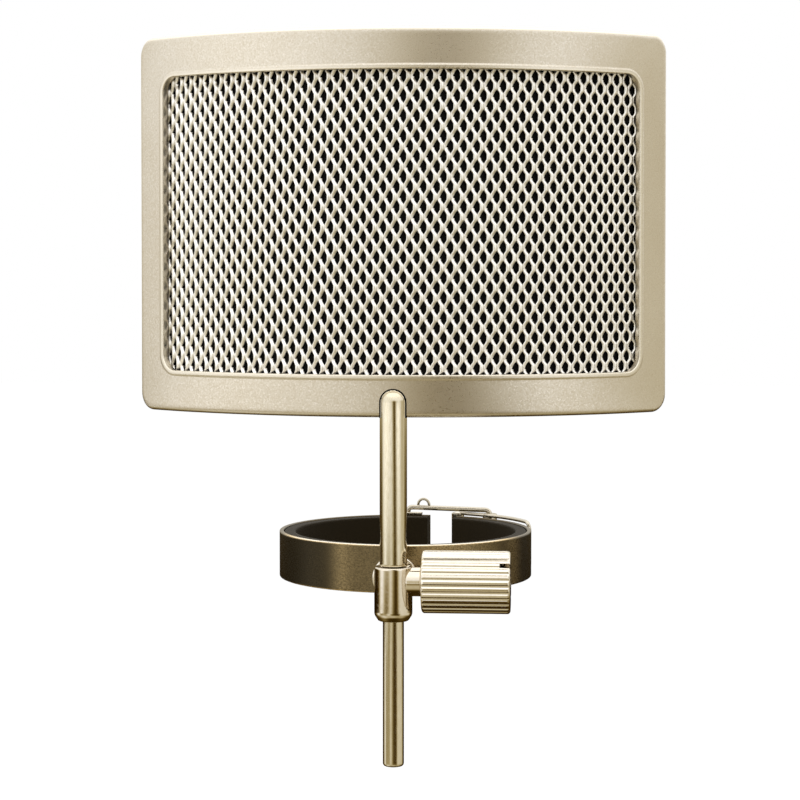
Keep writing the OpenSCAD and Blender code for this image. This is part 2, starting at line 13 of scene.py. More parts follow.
import bpy
import numpy as np
from numpy.typing import NDArray
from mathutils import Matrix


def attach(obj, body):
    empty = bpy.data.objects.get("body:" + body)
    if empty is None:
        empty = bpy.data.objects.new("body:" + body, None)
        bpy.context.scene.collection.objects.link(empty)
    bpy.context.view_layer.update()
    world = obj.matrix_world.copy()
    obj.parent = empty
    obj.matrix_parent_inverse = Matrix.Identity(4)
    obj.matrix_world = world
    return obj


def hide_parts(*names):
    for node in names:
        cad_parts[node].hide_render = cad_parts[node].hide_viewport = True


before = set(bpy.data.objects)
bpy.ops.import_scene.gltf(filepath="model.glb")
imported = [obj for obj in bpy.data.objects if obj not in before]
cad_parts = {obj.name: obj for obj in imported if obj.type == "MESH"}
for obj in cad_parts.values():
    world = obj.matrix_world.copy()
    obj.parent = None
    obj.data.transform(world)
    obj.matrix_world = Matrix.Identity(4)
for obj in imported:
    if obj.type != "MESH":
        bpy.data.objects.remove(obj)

Array = NDArray[np.float64]
Ints = NDArray[np.int64]
Colour = tuple[float, float, float, float]
Inputs = Mapping[str | int, object]
Socket = bpy.types.NodeSocket

MM = 0.001
UP = np.array([0.0, 0.0, 1.0])
WHITE = (1.0, 1.0, 1.0, 1.0)
# How near to its axis a turned profile ends, in millimetres.
AXIS_R = 0.02
# The most of a side that the rounding of one corner takes.
CORNER_SHARE = 0.32
log = logging.getLogger("pop_screen")


class Body(Enum):
    """The bodies that the drawn pieces ride on."""

    RING = "ring"
    LEVER = "lever"
    BAIL = "bail"
    KNOB = "knob"
    LOWER_ROD = "lower_rod"
    SCREEN = "screen"


class Slot(Enum):
    """The record's material slots."""

    FRAME = "frame_metal"
    MESH = "mesh_metal"
    BRIGHT = "bright_metal"
    BAND = "band_metal"
    LINER = "liner_rubber"
    CLOTH = "filter_cloth"


def bell(x: Array, at: Array | float, wide: Array | float) -> Array:
    """A bell curve of an angle in degrees about a middle, the shorter way round."""
    return np.exp(-((((x - at + 180) % 360 - 180) / wide) ** 2))


def step(x: Array, at: Array | float, soft: float) -> Array:
    """A soft step from 0 to 1 where a value passes another."""
    return 1 / (1 + np.exp(-(x - at) / soft))


def between(x: Array, start: Array | float, soft: float, stop: float, soft_end: float) -> Array:
    """A soft plateau: 1 from a start to a stop and 0 outside."""
    return step(x, start, soft) * (1 - step(x, stop, soft_end))


@dataclass
class Surface:
    """A shell of quads and triangles over points, with a weight for each point of rubbed wear and
    painted highlight.
    """

    points: Array
    quads: Ints
    tris: Ints = field(default_factory=lambda: np.zeros((0, 3), np.int64))
    wear_and_highlight: Array | None = None

    def outward(self) -> "Surface":
        """Turns all faces round if the enclosed volume, a sum of triple products, is negative.

        Returns:
            The same shell.
        """
        split = np.vstack([self.quads[:, [0, 1, 2]], self.quads[:, [0, 2, 3]], self.tris])
        a, b, c = (self.points[split[:, k]] for k in range(3))
        if np.einsum("ij,ij->", a, np.cross(b, c)) < 0:
            self.quads = self.quads[:, ::-1]
            self.tris = self.tris[:, ::-1]
        return self

    def placed(self, origin: Sequence[float], along: Sequence[float] = (0, 0, 1)) -> "Surface":
        """Turns local +Z to an axis direction and moves the shell.

        Args:
            origin: where the local origin goes.
            along: unit vector along a part axis that local +Z turns to.

        Returns:
            The same shell in its place.
        """
        z = np.asarray(along, float)
        x = np.roll(z, 1)
        axes = np.stack([x, np.cross(z, x), z])
        self.points = self.points @ axes + np.asarray(origin, float)
        return self

    def corners(self) -> Ints:
        """The points of all faces in a row, the quads' before the triangles'."""
        return np.concatenate([self.quads.ravel(), self.tris.ravel()])

    def mesh(self, name: str, unit: float) -> bpy.types.Mesh:
        """Makes the shell into a mesh.

        Args:
            name: the mesh's name.
            unit: length of the points' unit in metres.

        Returns:
            The mesh, smooth all over.
        """
        made = bpy.data.meshes.new(name)
        corners, split = self.corners(), 4 * len(self.quads)
        starts = [np.arange(0, split, 4), split + np.arange(0, 3 * len(self.tris), 3)]
        starts = np.concatenate(starts).astype(np.int32)
        made.vertices.add(len(self.points))
        made.vertices.foreach_set("co", (self.points * unit).astype(np.float32).ravel())
        made.loops.add(len(corners))
        made.loops.foreach_set("vertex_index", corners.astype(np.int32))
        made.polygons.add(len(starts))
        made.polygons.foreach_set("loop_start", starts)
        made.update(calc_edges=True)
        made.validate()
        made.polygons.foreach_set("use_smooth", np.ones(len(made.polygons), bool))
        return made


def joined(*parts: Surface) -> Surface:
    """Puts several shells into one.

    Args:
        parts: shells in place.

    Returns:
        One shell with all their points and faces.
    """
    starts = np.cumsum([0] + [len(p.points) for p in parts[:-1]])
    return Surface(
        np.vstack([p.points for p in parts]),
        np.vstack([p.quads + s for p, s in zip(parts, starts)]),
        np.vstack([p.tris + s for p, s in zip(parts, starts)]),
        np.concatenate([np.zeros(len(p.points)) if p.wear_and_highlight is None else p.wear_and_highlight for p in parts]),
    )


def grid_shell(points: Array, wrap_u: bool = False, wrap_v: bool = True,
               cap: bool = False) -> Surface:
    """Joins a grid of points into a shell: each quad takes neighbouring rows u and columns v.

    Args:
        points: array of rows, columns and xyz.
        wrap_u: the last row joins the first.
        wrap_v: the last column joins the first.
        cap: the first and last rows are closed by fans round their mean points.

    Returns:
        The shell, not yet turned outward.
    """
    rows, cols = points.shape[:2]
    index = np.arange(rows * cols).reshape(rows, cols)
    lap = np.vstack([index, index[:1]]) if wrap_u else index
    lap = np.hstack([lap, lap[:, :1]]) if wrap_v else lap
    quads = np.stack([lap[:-1, :-1], lap[1:, :-1], lap[1:, 1:], lap[:-1, 1:]], -1).reshape(-1, 4)
    flat = points.reshape(-1, 3)
    if not cap:
        return Surface(flat, quads)
    first, last = np.append(index[0], index[0, 0]), np.append(index[-1], index[-1, 0])
    hub = np.full(cols, len(flat))
    tris = np.vstack([
        np.stack([first[:-1], first[1:], hub], -1),
        np.stack([last[1:], last[:-1], hub + 1], -1),
    ])
    return Surface(np.vstack([flat, points[0].mean(0), points[-1].mean(0)]), quads, tris)


def eased(corners: Sequence[Sequence[float]], radius: float | Sequence[float], steps: int = 6,
          loop: bool = False) -> Array:
    """Rounds the corners of a polyline.

    A corner B gives way to (1-s)^2 A + 2 s (1-s) B + s^2 C, where A and C lie the radius away along
    its two sides. One more point on each side, half as far again, keeps the flats flat to the eye.

    Args:
        corners: the corners, each of two or three numbers.
        radius: how far from a corner the rounding starts, one for all or one for each.
        steps: points on each rounding.
        loop: the last corner joins the first.

    Returns:
        The rounded line's points. An open line keeps its ends.
    """
    p = np.asarray(corners, float)
    sides = [np.roll(p, way, 0) - p for way in (1, -1)]
    sizes = [np.linalg.norm(side, axis=1, keepdims=True) for side in sides]
    wish = np.broadcast_to(np.asarray(radius, float), len(p))[:, None]
    reach = np.minimum(wish, CORNER_SHARE * np.minimum(*sizes))
    a, c = (p + side / size * reach for side, size in zip(sides, sizes))
    s = np.linspace(0, 1, steps)[None, :, None]
    bend = (1 - s) ** 2 * a[:, None] + 2 * s * (1 - s) * p[:, None] + s**2 * c[:, None]
    line = np.concatenate([(1.5 * a - 0.5 * p)[:, None], bend, (1.5 * c - 0.5 * p)[:, None]], 1)
    if loop:
        return line.reshape(-1, p.shape[1])
    return np.vstack([p[:1], line[1:-1].reshape(-1, p.shape[1]), p[-1:]])


def box_section(half_out: float, half_up: float, radius: float) -> Array:
    """A rectangle with rounded corners, as (outward, up) offsets in a closed loop."""
    signs = np.array([(-1, -1), (1, -1), (1, 1), (-1, 1)])
    return eased(signs * (half_out, half_up), radius, 5, loop=True)


def revolved(profile: Array, turns: int = 96, ring: bool = False) -> Surface:
    """Turns a profile of (radius r, height h) about local Z: P = (r cos a, r sin a, h).

    Args:
        profile: the points from one end to the other.
        turns: points round the axis.
        ring: the profile is a closed loop beside the axis. Otherwise its ends are closed.

    Returns:
        The closed shell.
    """
    a = np.linspace(0, 2 * math.pi, turns, endpoint=False)
    r, h = profile[:, :1], profile[:, 1:]
    points = np.stack([r * np.cos(a), r * np.sin(a), h + 0 * a], -1)
    return grid_shell(points, wrap_u=ring, cap=not ring).outward()


def tube(inner: float, outer: float, low: float, high: float, radius: float, steps: int,
         turns: int) -> Surface:
    """A tube about local Z with rounded rims, from a low to a high end."""
    corners = [(inner, low), (outer, low), (outer, high), (inner, high)]
    return revolved(eased(corners, radius, steps, loop=True), turns, ring=True)


def compass(turn: Array | float, radius: Array | float) -> Array:
    """A point round the ring: (radius sin turn, radius cos turn), degrees from +Y towards +X."""
    t = np.radians(turn)
    return np.stack([radius * np.sin(t), radius * np.cos(t)], -1)


def arc_strip(section: Array, radius: float, start: float, stop: float, steps: int) -> Surface:
    """Carries a section round the ring: P(t, k) = compass(t, radius + out_k) at height up_k.

    Args:
        section: (outward, up) offsets in a closed loop.
        radius: the section's own radius.
        start: first direction, degrees from +Y towards +X.
        stop: last direction.
        steps: sections along the way.

    Returns:
        The closed shell.
    """
    t = np.linspace(start, stop, steps)[:, None]
    flat = compass(t, radius + section[None, :, 0])
    up = np.broadcast_to(section[None, :, 1:], (*flat.shape[:2], 1))
    return grid_shell(np.concatenate([flat, up], -1), cap=True).outward()


def wire_along(path: Array, across: Array, radius: float, sides: int = 16) -> Surface:
    """Carries a circle along a path: P = C + radius (cos a N + sin a T x N), N square to the path.

    Args:
        path: the wire's centre line.
        across: normal of the surface that the path lies in, one for all or one for each point.
        radius: of the wire.
        sides: points round the wire.

    Returns:
        The closed shell.
    """
    along = np.gradient(path, axis=0)
    along /= np.linalg.norm(along, axis=1, keepdims=True)
    square = across - np.sum(along * across, 1, keepdims=True) * along
    square /= np.linalg.norm(square, axis=1, keepdims=True)
    other = np.cross(along, square)
    a = np.linspace(0, 2 * math.pi, sides, endpoint=False)[None, :, None]
    points = path[:, None] + radius * (np.cos(a) * square[:, None] + np.sin(a) * other[:, None])
    return grid_shell(points, cap=True).outward()


def evened(line: Array, gap: float) -> Array:
    """Lays points at even steps along a polyline.

    Args:
        line: the polyline's points.
        gap: the longest step.

    Returns:
        The new points, with both ends.
    """
    far = np.concatenate([[0], np.cumsum(np.linalg.norm(np.diff(line, axis=0), axis=1))])
    s = np.linspace(0, far[-1], math.ceil(far[-1] / gap) + 1)
    return np.stack([np.interp(s, far, line[:, k]) for k in range(line.shape[1])], -1)


def linear(code: str) -> Colour:
    """Turns an sRGB hex colour into linear RGBA."""
    s = np.array([int(code[i : i + 2], 16) / 255 for i in (1, 3, 5)])
    return (*np.where(s <= 0.04045, s / 12.92, ((s + 0.055) / 1.055) ** 2.4).tolist(), 1.0)


def add_node(tree: bpy.types.NodeTree, kind: str,
             inputs: Inputs | None = None) -> bpy.types.NodeOutputs:
    """Adds one shader node.

    Args:
        tree: where it goes.
        kind: its type without the leading ShaderNode.
        inputs: its own properties, and values for its inputs or the sockets that feed them.

    Returns:
        The node's outputs.
    """
    node = tree.nodes.new("ShaderNode" + kind)
    for key, value in (inputs or {}).items():
        if isinstance(value, Socket):
            tree.links.new(value, node.inputs[key])
        elif isinstance(key, str) and hasattr(node, key):
            setattr(node, key, value)
        else:
            node.inputs[key].default_value = value
    return node.outputs


def emptied(owner: bpy.types.Material | bpy.types.World) -> bpy.types.NodeTree:
    """Empties the node tree of a material or a world.

    Args:
        owner: what the tree belongs to.

    Returns:
        The tree, to be filled.
    """
    owner.use_nodes = True
    owner.node_tree.nodes.clear()
    return owner.node_tree


@dataclass(frozen=True)
class Finish:
    """One finish: its name, its colours and its roughness."""

    name: str
    colour: str
    shade: str
    rough: float

    def material(self) -> bpy.types.Material:
        """Builds the material: a shader fed by the finish's own pattern.

        Returns:
            The material.
        """
        made = bpy.data.materials.new(self.name)
        tree = emptied(made)
        inputs = {"Roughness": self.rough, **self.pattern(tree)}
        shader = add_node(tree, "BsdfPrincipled", inputs)[0]
        add_node(tree, "OutputMaterial", {"Surface": shader})
        return made

    def pattern(self, tree: bpy.types.NodeTree) -> Inputs:
        """Builds the finish's pattern in a tree and gives what feeds the shader."""
        raise NotImplementedError


@dataclass(frozen=True)
class PlatedMetal(Finish):
    """Nickel plate on steel or brass: grain from blasting or drawing, clouding, rubbed wear and
    painted highlights.
    """

    grain_mm: tuple[float, float, float] = (0.4, 0.4, 0.4)
    depth_mm: float = 0.02
    cloud_mm: float = 22.0
    spread: float = 0.06
    mottle: float = 0.5
    # The lighter colour of rubbed wear and painted highlights, and the paler colour of bare edges
    # and painted highlights.
    rubbed_and_highlight: str = "#f0e9d8"
    bare_and_highlight: str = "#fbf6ea"
    cloud_share: float = 0.45
    press: float = 0.6

    def pattern(self, tree: bpy.types.NodeTree) -> Inputs:
        """Mixes colour and shade by grain and cloud and lets the grain press the surface.

        A weight from 0 to 1 mixes in the lighter colour of rubbed wear and painted highlight in
        patches, and from 1 to 2 the paler bare edge's colour, partly wear and partly painted
        highlight.

        Args:
            tree: where the nodes go.

        Returns:
            What feeds the shader.
        """
        place = add_node(tree, "TexCoord")["Object"]
        scale = tuple(1 / (g * MM) for g in self.grain_mm)
        turned = add_node(tree, "Mapping", {"Vector": place, "Scale": scale})[0]
        grain = add_node(tree, "TexNoise", {"Vector": turned, "Scale": 1.0, "Detail": 3.0,
                                            "Roughness": 0.6})["Fac"]
        cloud = add_node(tree, "TexNoise", {"Vector": place, "Scale": 1 / (self.cloud_mm * MM),
                                            "Detail": 3.0})["Fac"]
        both = add_node(tree, "Math", {"operation": "MULTIPLY_ADD", 0: cloud, 1: self.cloud_share,
                                       2: grain})[0]
        mottle = add_node(tree, "MapRange", {"Value": both, "From Min": 0.45, "From Max": 1.0,
                                             "To Min": 0.0, "To Max": self.mottle})[0]
        tone = add_node(tree, "Mix", {"data_type": "RGBA", 0: mottle, 6: linear(self.colour),
                                      7: linear(self.shade)})[2]
        # The weight mixes in rubbed wear and painted highlights: lighter colours that stand for
        # light on the surface.
        wear_and_highlight = add_node(tree, "Attribute", {"attribute_name": "wear_and_highlight"})["Fac"]
        patchy = add_node(tree, "MapRange", {"Value": grain, "From Min": 0.35, "From Max": 0.65,
                                             "To Min": 0.55, "To Max": 1.4})[0]
        worn_and_highlight = add_node(tree, "Math", {"operation": "MULTIPLY", "use_clamp": True, 0: wear_and_highlight,
                                       1: patchy})[0]
        rubbed_and_highlight = add_node(tree, "Mix", {"data_type": "RGBA", 0: worn_and_highlight, 6: tone,
                                        7: linear(self.rubbed_and_highlight)})[2]
        edge = add_node(tree, "Math", {"operation": "SUBTRACT", "use_clamp": True, 0: wear_and_highlight,
                                       1: 1.0})[0]
        base = add_node(tree, "Mix", {"data_type": "RGBA", 0: edge, 6: rubbed_and_highlight,
                                      7: linear(self.bare_and_highlight)})[2]
        rough = add_node(tree, "MapRange", {"Value": grain, "From Min": 0.3, "From Max": 0.7,
                                            "To Min": self.rough - self.spread,
                                            "To Max": self.rough + self.spread})[0]
        bump = add_node(tree, "Bump", {"Height": grain, "Strength": self.press,
                                       "Distance": self.depth_mm * MM})[0]
        return {"Metallic": 1.0, "Base Color": base, "Roughness": rough, "Normal": bump}


@dataclass(frozen=True)
class MouldedRubber(Finish):
    """Black moulded rubber: soft broad highlight, fine pits and a dusty bloom."""

    pit_mm: float = 0.5
    pit_depth_mm: float = 0.03
    press: float = 0.5
    bloom_mm: float = 6.0
    shine: float = 0.25
    sheen: str = "#fff0cc"

    def pattern(self, tree: bpy.types.NodeTree) -> Inputs:
        """Mixes colour and bloom by a soft cloud and presses fine pits.

        Args:
            tree: where the nodes go.

        Returns:
            What feeds the shader.
        """
        place = add_node(tree, "TexCoord")["Object"]
        pits = add_node(tree, "TexNoise", {"Vector": place, "Scale": 1 / (self.pit_mm * MM),
                                           "Detail": 2.0})["Fac"]
        bloom = add_node(tree, "TexNoise", {"Vector": place, "Scale": 1 / (self.bloom_mm * MM),
                                            "Detail": 4.0})["Fac"]
        tone = add_node(tree, "Mix", {"data_type": "RGBA", 0: bloom, 6: linear(self.colour),
                                      7: linear(self.shade)})[2]
        bump = add_node(tree, "Bump", {"Height": pits, "Strength": self.press,
                                       "Distance": self.pit_depth_mm * MM})[0]
        return {"Specular IOR Level": self.shine, "Specular Tint": linear(self.sheen),
                "Base Color": tone, "Normal": bump}


@dataclass(frozen=True)
class WovenCloth(Finish):
    """Plain-woven black filter cloth: threads over and under each other, with a faint sheen."""

    # Real threads lie about 0.2 mm apart. They are drawn coarser so that they show.
    thread_mm: float = 0.5
    thread_depth_mm: float = 0.06
    press: float = 0.6
    shine: float = 0.2
    sheen: float = 0.05

    def pattern(self, tree: bpy.types.NodeTree) -> Inputs:
        """Multiplies a sine across and a sine along the cloth into checks of raised threads.

        Args:
            tree: where the nodes go.

        Returns:
            What feeds the shader.
        """
        spot = add_node(tree, "SeparateXYZ", {0: add_node(tree, "UVMap", {"uv_map": "cut"})[0]})
        pace = math.pi / (self.thread_mm * MM)
        turns = [add_node(tree, "Math", {"operation": "MULTIPLY", 0: spot[k], 1: pace})[0]
                 for k in (0, 1)]
        across, along = (add_node(tree, "Math", {"operation": "SINE", 0: turn})[0] for turn in turns)
        weave = add_node(tree, "Math", {"operation": "MULTIPLY", 0: across, 1: along})[0]
        share = add_node(tree, "MapRange", {"Value": weave, "From Min": -1.0})[0]
        # The lower checks of the weave take the darker colour: painted shade in its hollows.
        tone = add_node(tree, "Mix", {"data_type": "RGBA", 0: share, 6: linear(self.shade),
                                      7: linear(self.colour)})[2]
        bump = add_node(tree, "Bump", {"Height": share, "Strength": self.press,
                                       "Distance": self.thread_depth_mm * MM})[0]
        return {"Specular IOR Level": self.shine, "Sheen Weight": self.sheen,
                "Base Color": tone, "Normal": bump}


# Bead-blasted nickel with a champagne tint: the blasting's fine even grain spreads light softly.
BLASTED_NICKEL = PlatedMetal(
    "bead_blasted_champagne_nickel", "#dcd5c8", "#bdb097", rough=0.32,
    grain_mm=(0.36, 0.36, 0.36), depth_mm=0.016, cloud_mm=24.0, spread=0.07, mottle=0.8)
# The same plate on expanded steel: shearing leaves smoother faces, so the strands glint.
STRAND_NICKEL = PlatedMetal(
    "sheared_champagne_nickel", "#fcfaf6", "#efe9dc", rough=0.42,
    grain_mm=(0.5, 0.5, 0.9), depth_mm=0.012, cloud_mm=12.0)
# Nickel on drawn brass: bright, with fine lines along the rods that streak the highlights.
DRAWN_NICKEL = PlatedMetal(
    "drawn_nickel_plate", "#dcd3be", "#c0b494", rough=0.12,
    grain_mm=(0.16, 0.16, 1.6), depth_mm=0.005, cloud_mm=14.0, spread=0.04, mottle=0.7)
# The same plate polished on a wheel: dark and light parts of the room stay apart in it.
POLISHED_NICKEL = PlatedMetal(
    "polished_nickel_plate", "#dfd6c6", "#cbbfa7", rough=0.07,
    grain_mm=(0.8, 0.8, 0.8), depth_mm=0.002, cloud_mm=10.0, spread=0.03)
# Nickel on small stampings and the turned knob: bright and slightly wavy.
BRIGHT_NICKEL = PlatedMetal(
    "bright_nickel_plate", "#e8e1d3", "#d6ccb8", rough=0.15,
    grain_mm=(0.7, 0.7, 0.7), depth_mm=0.006, cloud_mm=9.0, spread=0.05)
# Nickel on drawn wire: a little duller, so that a thin wire keeps its outline.
WIRE_NICKEL = PlatedMetal(
    "dull_nickel_wire", "#c3bbaa", "#aba18d", rough=0.16,
    grain_mm=(0.5, 0.5, 0.5), depth_mm=0.004, cloud_mm=7.0, spread=0.05)
# Bronze-toned plate on spring strip: dark sandy satin, lightened at the front by painted reflections
# and at the rims by painted highlights with some rubbed wear.
BAND_NICKEL = PlatedMetal(
    "satin_bronze_nickel", "#433b2b", "#27221a", rough=0.3, grain_mm=(0.42, 0.42, 0.3),
    cloud_mm=10.0, spread=0.08, mottle=0.9, rubbed_and_highlight="#e2c690")
# Moulded rubber: matt, so the ring's inside stays a soft black.
LINER_RUBBER = MouldedRubber("moulded_black_rubber", "#120d06", "#1c150a", rough=0.72)
# Woven cloth: takes in nearly all the light, so the mesh's holes read black.
FILTER_CLOTH = WovenCloth("woven_filter_cloth", "#0b0908", "#040303", rough=0.85)


@dataclass
class Wardrobe:
    """Builds each finish's material once and dresses pieces with it."""

    made: dict[str, bpy.types.Material] = field(default_factory=dict)

    def material(self, finish: Finish) -> bpy.types.Material:
        """The finish's material, built the first time it is asked for.

        Args:
            finish: what is asked for.

        Returns:
            The material.
        """
        if finish.name not in self.made:
            self.made[finish.name] = finish.material()
        return self.made[finish.name]

    def piece(self, name: str, shell: Surface, finish: Finish, body: Body,
              nodes: Sequence[str] = (), crease: float = 38.0,
              cut: Array | None = None) -> bpy.types.Object:
        """Makes a shell into an object that rides on a body.

        Args:
            name: the object's name.
            shell: its surface in millimetres.
            finish: what it is covered with.
            body: the body that carries it.
            nodes: the solids that it stands for.
            crease: angle in degrees above which an edge stays sharp.
            cut: place of each point on the flat cloth, in metres, where the finish needs it.

        Returns:
            The object.
        """
        mesh = shell.mesh(name, MM)
        mesh.set_sharp_from_angle(angle=math.radians(crease))
        if shell.wear_and_highlight is not None:
            mark = mesh.attributes.new("wear_and_highlight", "FLOAT", "POINT")
            mark.data.foreach_set("value", shell.wear_and_highlight.astype(np.float32))
        if cut is not None:
            layer = mesh.uv_layers.new(name="cut")
            layer.data.foreach_set("uv", cut[shell.corners()].astype(np.float32).ravel())
        mesh.materials.append(self.material(finish))
        made = bpy.data.objects.new(name, mesh)
        bpy.context.scene.collection.objects.link(made)
        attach(made, body.value)
        if nodes:
            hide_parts(*nodes)
        log.info("%s: %d faces on %s", name, len(mesh.polygons), body.value)
        return made

    def keep(self, finish: Finish, *nodes: str) -> None:
        """Covers solids that stay as they are with a finish.

        Args:
            finish: what they are covered with.
            nodes: the solids.
        """
        for node in nodes:
            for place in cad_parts[node].material_slots:
                place.material = self.material(finish)
            log.info("%s: kept, %s", node, finish.name)


@dataclass
class RingClamp:
    """The spring band, its rubber liner, the keeper's folded edges and the over-centre latch."""

    bore_r: float = 25.0
    liner_t: float = 2.65
    liner_inset: float = 0.2
    liner_edge: float = 0.45
    band_t: float = 1.0
    band_h: float = 10.4
    band_edge: float = 0.34
    rim_from: float = 0.955
    rim_soft: float = 0.03
    gap_w: float = 7.0
    gap_at: float = 15.05
    pivot_over: float = 0.85
    lever_arm: float = 8.8
    lever_gap: float = 0.3
    lever_proud: float = 0.5
    lever_wire_d: float = 0.9
    leg_inset: float = 1.15
    hinge_run: float = 1.8
    hinge_bend: float = 0.9
    handle_l: float = 13.0
    flare_l: float = 4.0
    grip_bend: float = 2.2
    wire_step: float = 0.25
    knuckle_d: float = 3.0
    knuckle_h: float = 4.8
    barrel_d: float = 3.4
    barrel_proud: float = 0.35
    pin_d: float = 1.5
    run_fit: float = 0.05
    wire_d: float = 1.2
    wire_bend: float = 1.3
    hook_inset: float = 5.5
    hook_slack: float = 0.6
    face_gap: float = 0.15
    seat_gap: float = 0.04
    bail_gap: float = 0.55
    loop_wire_d: float = 0.65
    loop_r: float = 1.38
    loop_rise: float = 0.7
    loop_along: float = 4.0
    loop_arc: tuple[float, float] = (-35.0, 215.0)
    fold_half: float = 7.0
    fold_over: float = 0.25
    fold_t: float = 0.55
    fold_edge: float = 0.12
    knuckle_edge: float = 0.18
    barrel_edge: float = 0.25

    def __post_init__(self) -> None:
        """Works out the radii, directions and pivots that follow from the sizes."""
        self.band_or = self.bore_r + self.liner_t + self.band_t
        self.band_mid = self.band_or - self.band_t / 2
        half_gap = math.degrees(math.asin(self.gap_w / 2 / self.band_or))
        self.left_end, self.right_end = self.gap_at - half_gap, self.gap_at + half_gap
        lever_ir = self.band_or + self.lever_gap
        self.pivot_r, self.barrel_r = lever_ir + self.knuckle_d / 2, lever_ir + self.barrel_d / 2
        self.pivot_at = self.right_end - self.degrees(self.pivot_over)
        squares = self.pivot_r**2 + self.barrel_r**2 - self.lever_arm**2
        spread = math.acos(squares / (2 * self.pivot_r * self.barrel_r))
        self.barrel_at = self.pivot_at + math.degrees(spread)
        self.handle_end = self.barrel_at + self.degrees(self.handle_l)
        self.hook_at = self.left_end - self.degrees(self.hook_inset)
        hook_r = self.band_or + self.wire_d / 2 + self.hook_slack + self.seat_gap
        self.pivot = compass(self.pivot_at, self.pivot_r)
        self.barrel = compass(self.barrel_at, self.barrel_r)
        self.hook = compass(self.hook_at, hook_r)
        self.lever_half = self.band_h / 2 + self.lever_proud
        self.bail_z = self.lever_half + self.bail_gap + self.wire_d / 2

    def degrees(self, arc: float) -> float:
        """Turns a length along the band's outside into degrees."""
        return math.degrees(arc / self.band_or)

    def long_way(self, section: Array, radius: float, steps: int) -> Surface:
        """Carries a section the long way round from one end of the gap to the other."""
        return arc_strip(section, radius, self.right_end, self.left_end + 360, steps)

    def band(self) -> Surface:
        """The strip with rounded edges, lightened by painted reflections, bells and plateaus of the
        turn, and at its rims by painted highlights with some rubbed wear.

        Returns:
            The closed shell.
        """
        section = box_section(self.band_t / 2, self.band_h / 2, self.band_edge)
        shell = self.long_way(section, self.band_mid, 260)
        high = np.abs(shell.points[:, 2]) / (self.band_h / 2)
        turn = np.degrees(np.arctan2(shell.points[:, 0], -shell.points[:, 1]))
        # Painted reflections of the studio's light: the lighter stretches, in degrees from the front
        # towards +X.
        rubbed_and_highlight = 0.13 * bell(turn, -25, 4.5) + 0.18 * bell(turn, 61, 6)
        rubbed_and_highlight += 0.15 * between(turn, -28, 2.5, 50, 3) + 0.16 * between(turn, 4, 3, 36, 4)
        # Painted highlights along the rims, brightest towards the front, with some rubbed wear.
        front = 0.1 + 1.7 * np.exp(-(((turn + 3) / 60) ** 8))
        rim = np.clip((high - self.rim_from) / self.rim_soft, 0, 1)
        shell.wear_and_highlight = np.maximum(rubbed_and_highlight, front * rim)
        return shell

    def liner(self) -> Surface:
        """The liner's thicker strip inside the band, with soft edges.

        Returns:
            The closed shell.
        """
        depth = self.liner_t - self.seat_gap
        half_up = self.band_h / 2 - self.liner_inset
        section = box_section(depth / 2, half_up, self.liner_edge)
        return self.long_way(section, self.bore_r + depth / 2, 220)

    def lever(self) -> Surface:
        """The lever's bent wire, its two hinge knuckles and the barrel that the bail hangs in.

        The wire's course is a rounded oblong of places (s along the band, z): up from the hinge,
        along the band's upper edge, down at the grip and back along the lower edge. It is laid
        round the band by compass(turn(s), r(s)) and runs straight on past the handle's end. r eases
        from the hinge's radius to the legs'.

        Returns:
            The closed shells in one.
        """
        leg_r = self.barrel_r - self.leg_inset
        arc = math.radians(self.handle_end - self.pivot_at) * leg_r
        end, top, foot = arc + self.flare_l, self.lever_half, self.knuckle_h / 2 + self.face_gap
        places = [(0, foot), (0, top), (end, top), (end, -top), (0, -top), (0, -foot)]
        hinge, grip = self.hinge_bend, self.grip_bend
        s, z = evened(eased(places, [0, hinge, grip, grip, hinge, 0], 10), self.wire_step).T
        turn = self.pivot_at + np.degrees(np.minimum(s, arc) / leg_r)
        radius = leg_r + (self.pivot_r - leg_r) * np.exp(-((s / self.hinge_run) ** 2))
        leave = math.radians(self.handle_end)
        ahead = np.array([math.cos(leave), -math.sin(leave)])
        level = compass(turn, radius) + np.maximum(s - arc, 0)[:, None] * ahead
        out = np.column_stack([compass(turn, 1.0), 0 * z])
        pin_r, wire_r = self.pin_d / 2 + self.run_fit, self.wire_d / 2 + self.run_fit
        tall = top + self.barrel_proud
        knuckles = (tube(pin_r, self.knuckle_d / 2, side * foot, side * top, self.knuckle_edge,
                         steps=5, turns=48) for side in (1, -1))
        barrel = tube(wire_r, self.barrel_d / 2, -tall, tall, self.barrel_edge, steps=5, turns=48)
        return joined(
            wire_along(np.column_stack([level, z]), out, self.lever_wire_d / 2),
            *(knuckle.placed((*self.pivot, 0)) for knuckle in knuckles),
            barrel.placed((*self.barrel, 0)),
        )

    def bail(self) -> Surface:
        """The bent wire from the barrel's top over the hook to its foot, with its finger loop.

        Returns:
            The closed shells in one.
        """
        run = self.barrel - self.hook
        length = float(np.linalg.norm(run))
        origin, ex = np.array([*self.hook, 0.0]), np.array([*run / length, 0.0])
        across = np.cross(ex, UP)
        inside, high = self.knuckle_h / 2 + self.face_gap, self.bail_z
        places = [(length, inside), (length, high), (0, high), (0, -high), (length, -high),
                  (length, -inside)]
        line = eased(places, self.wire_bend, 10)
        wire = wire_along(origin + line[:, :1] * ex + line[:, 1:] * UP, across, self.wire_d / 2)
        a = np.radians(np.linspace(*self.loop_arc, 44))[:, None]
        loop = origin + (self.loop_along + self.loop_r * np.cos(a)) * ex
        loop = loop + (high + self.loop_rise + self.loop_r * np.sin(a)) * UP
        return joined(wire, wire_along(loop, across, self.loop_wire_d / 2, 14))

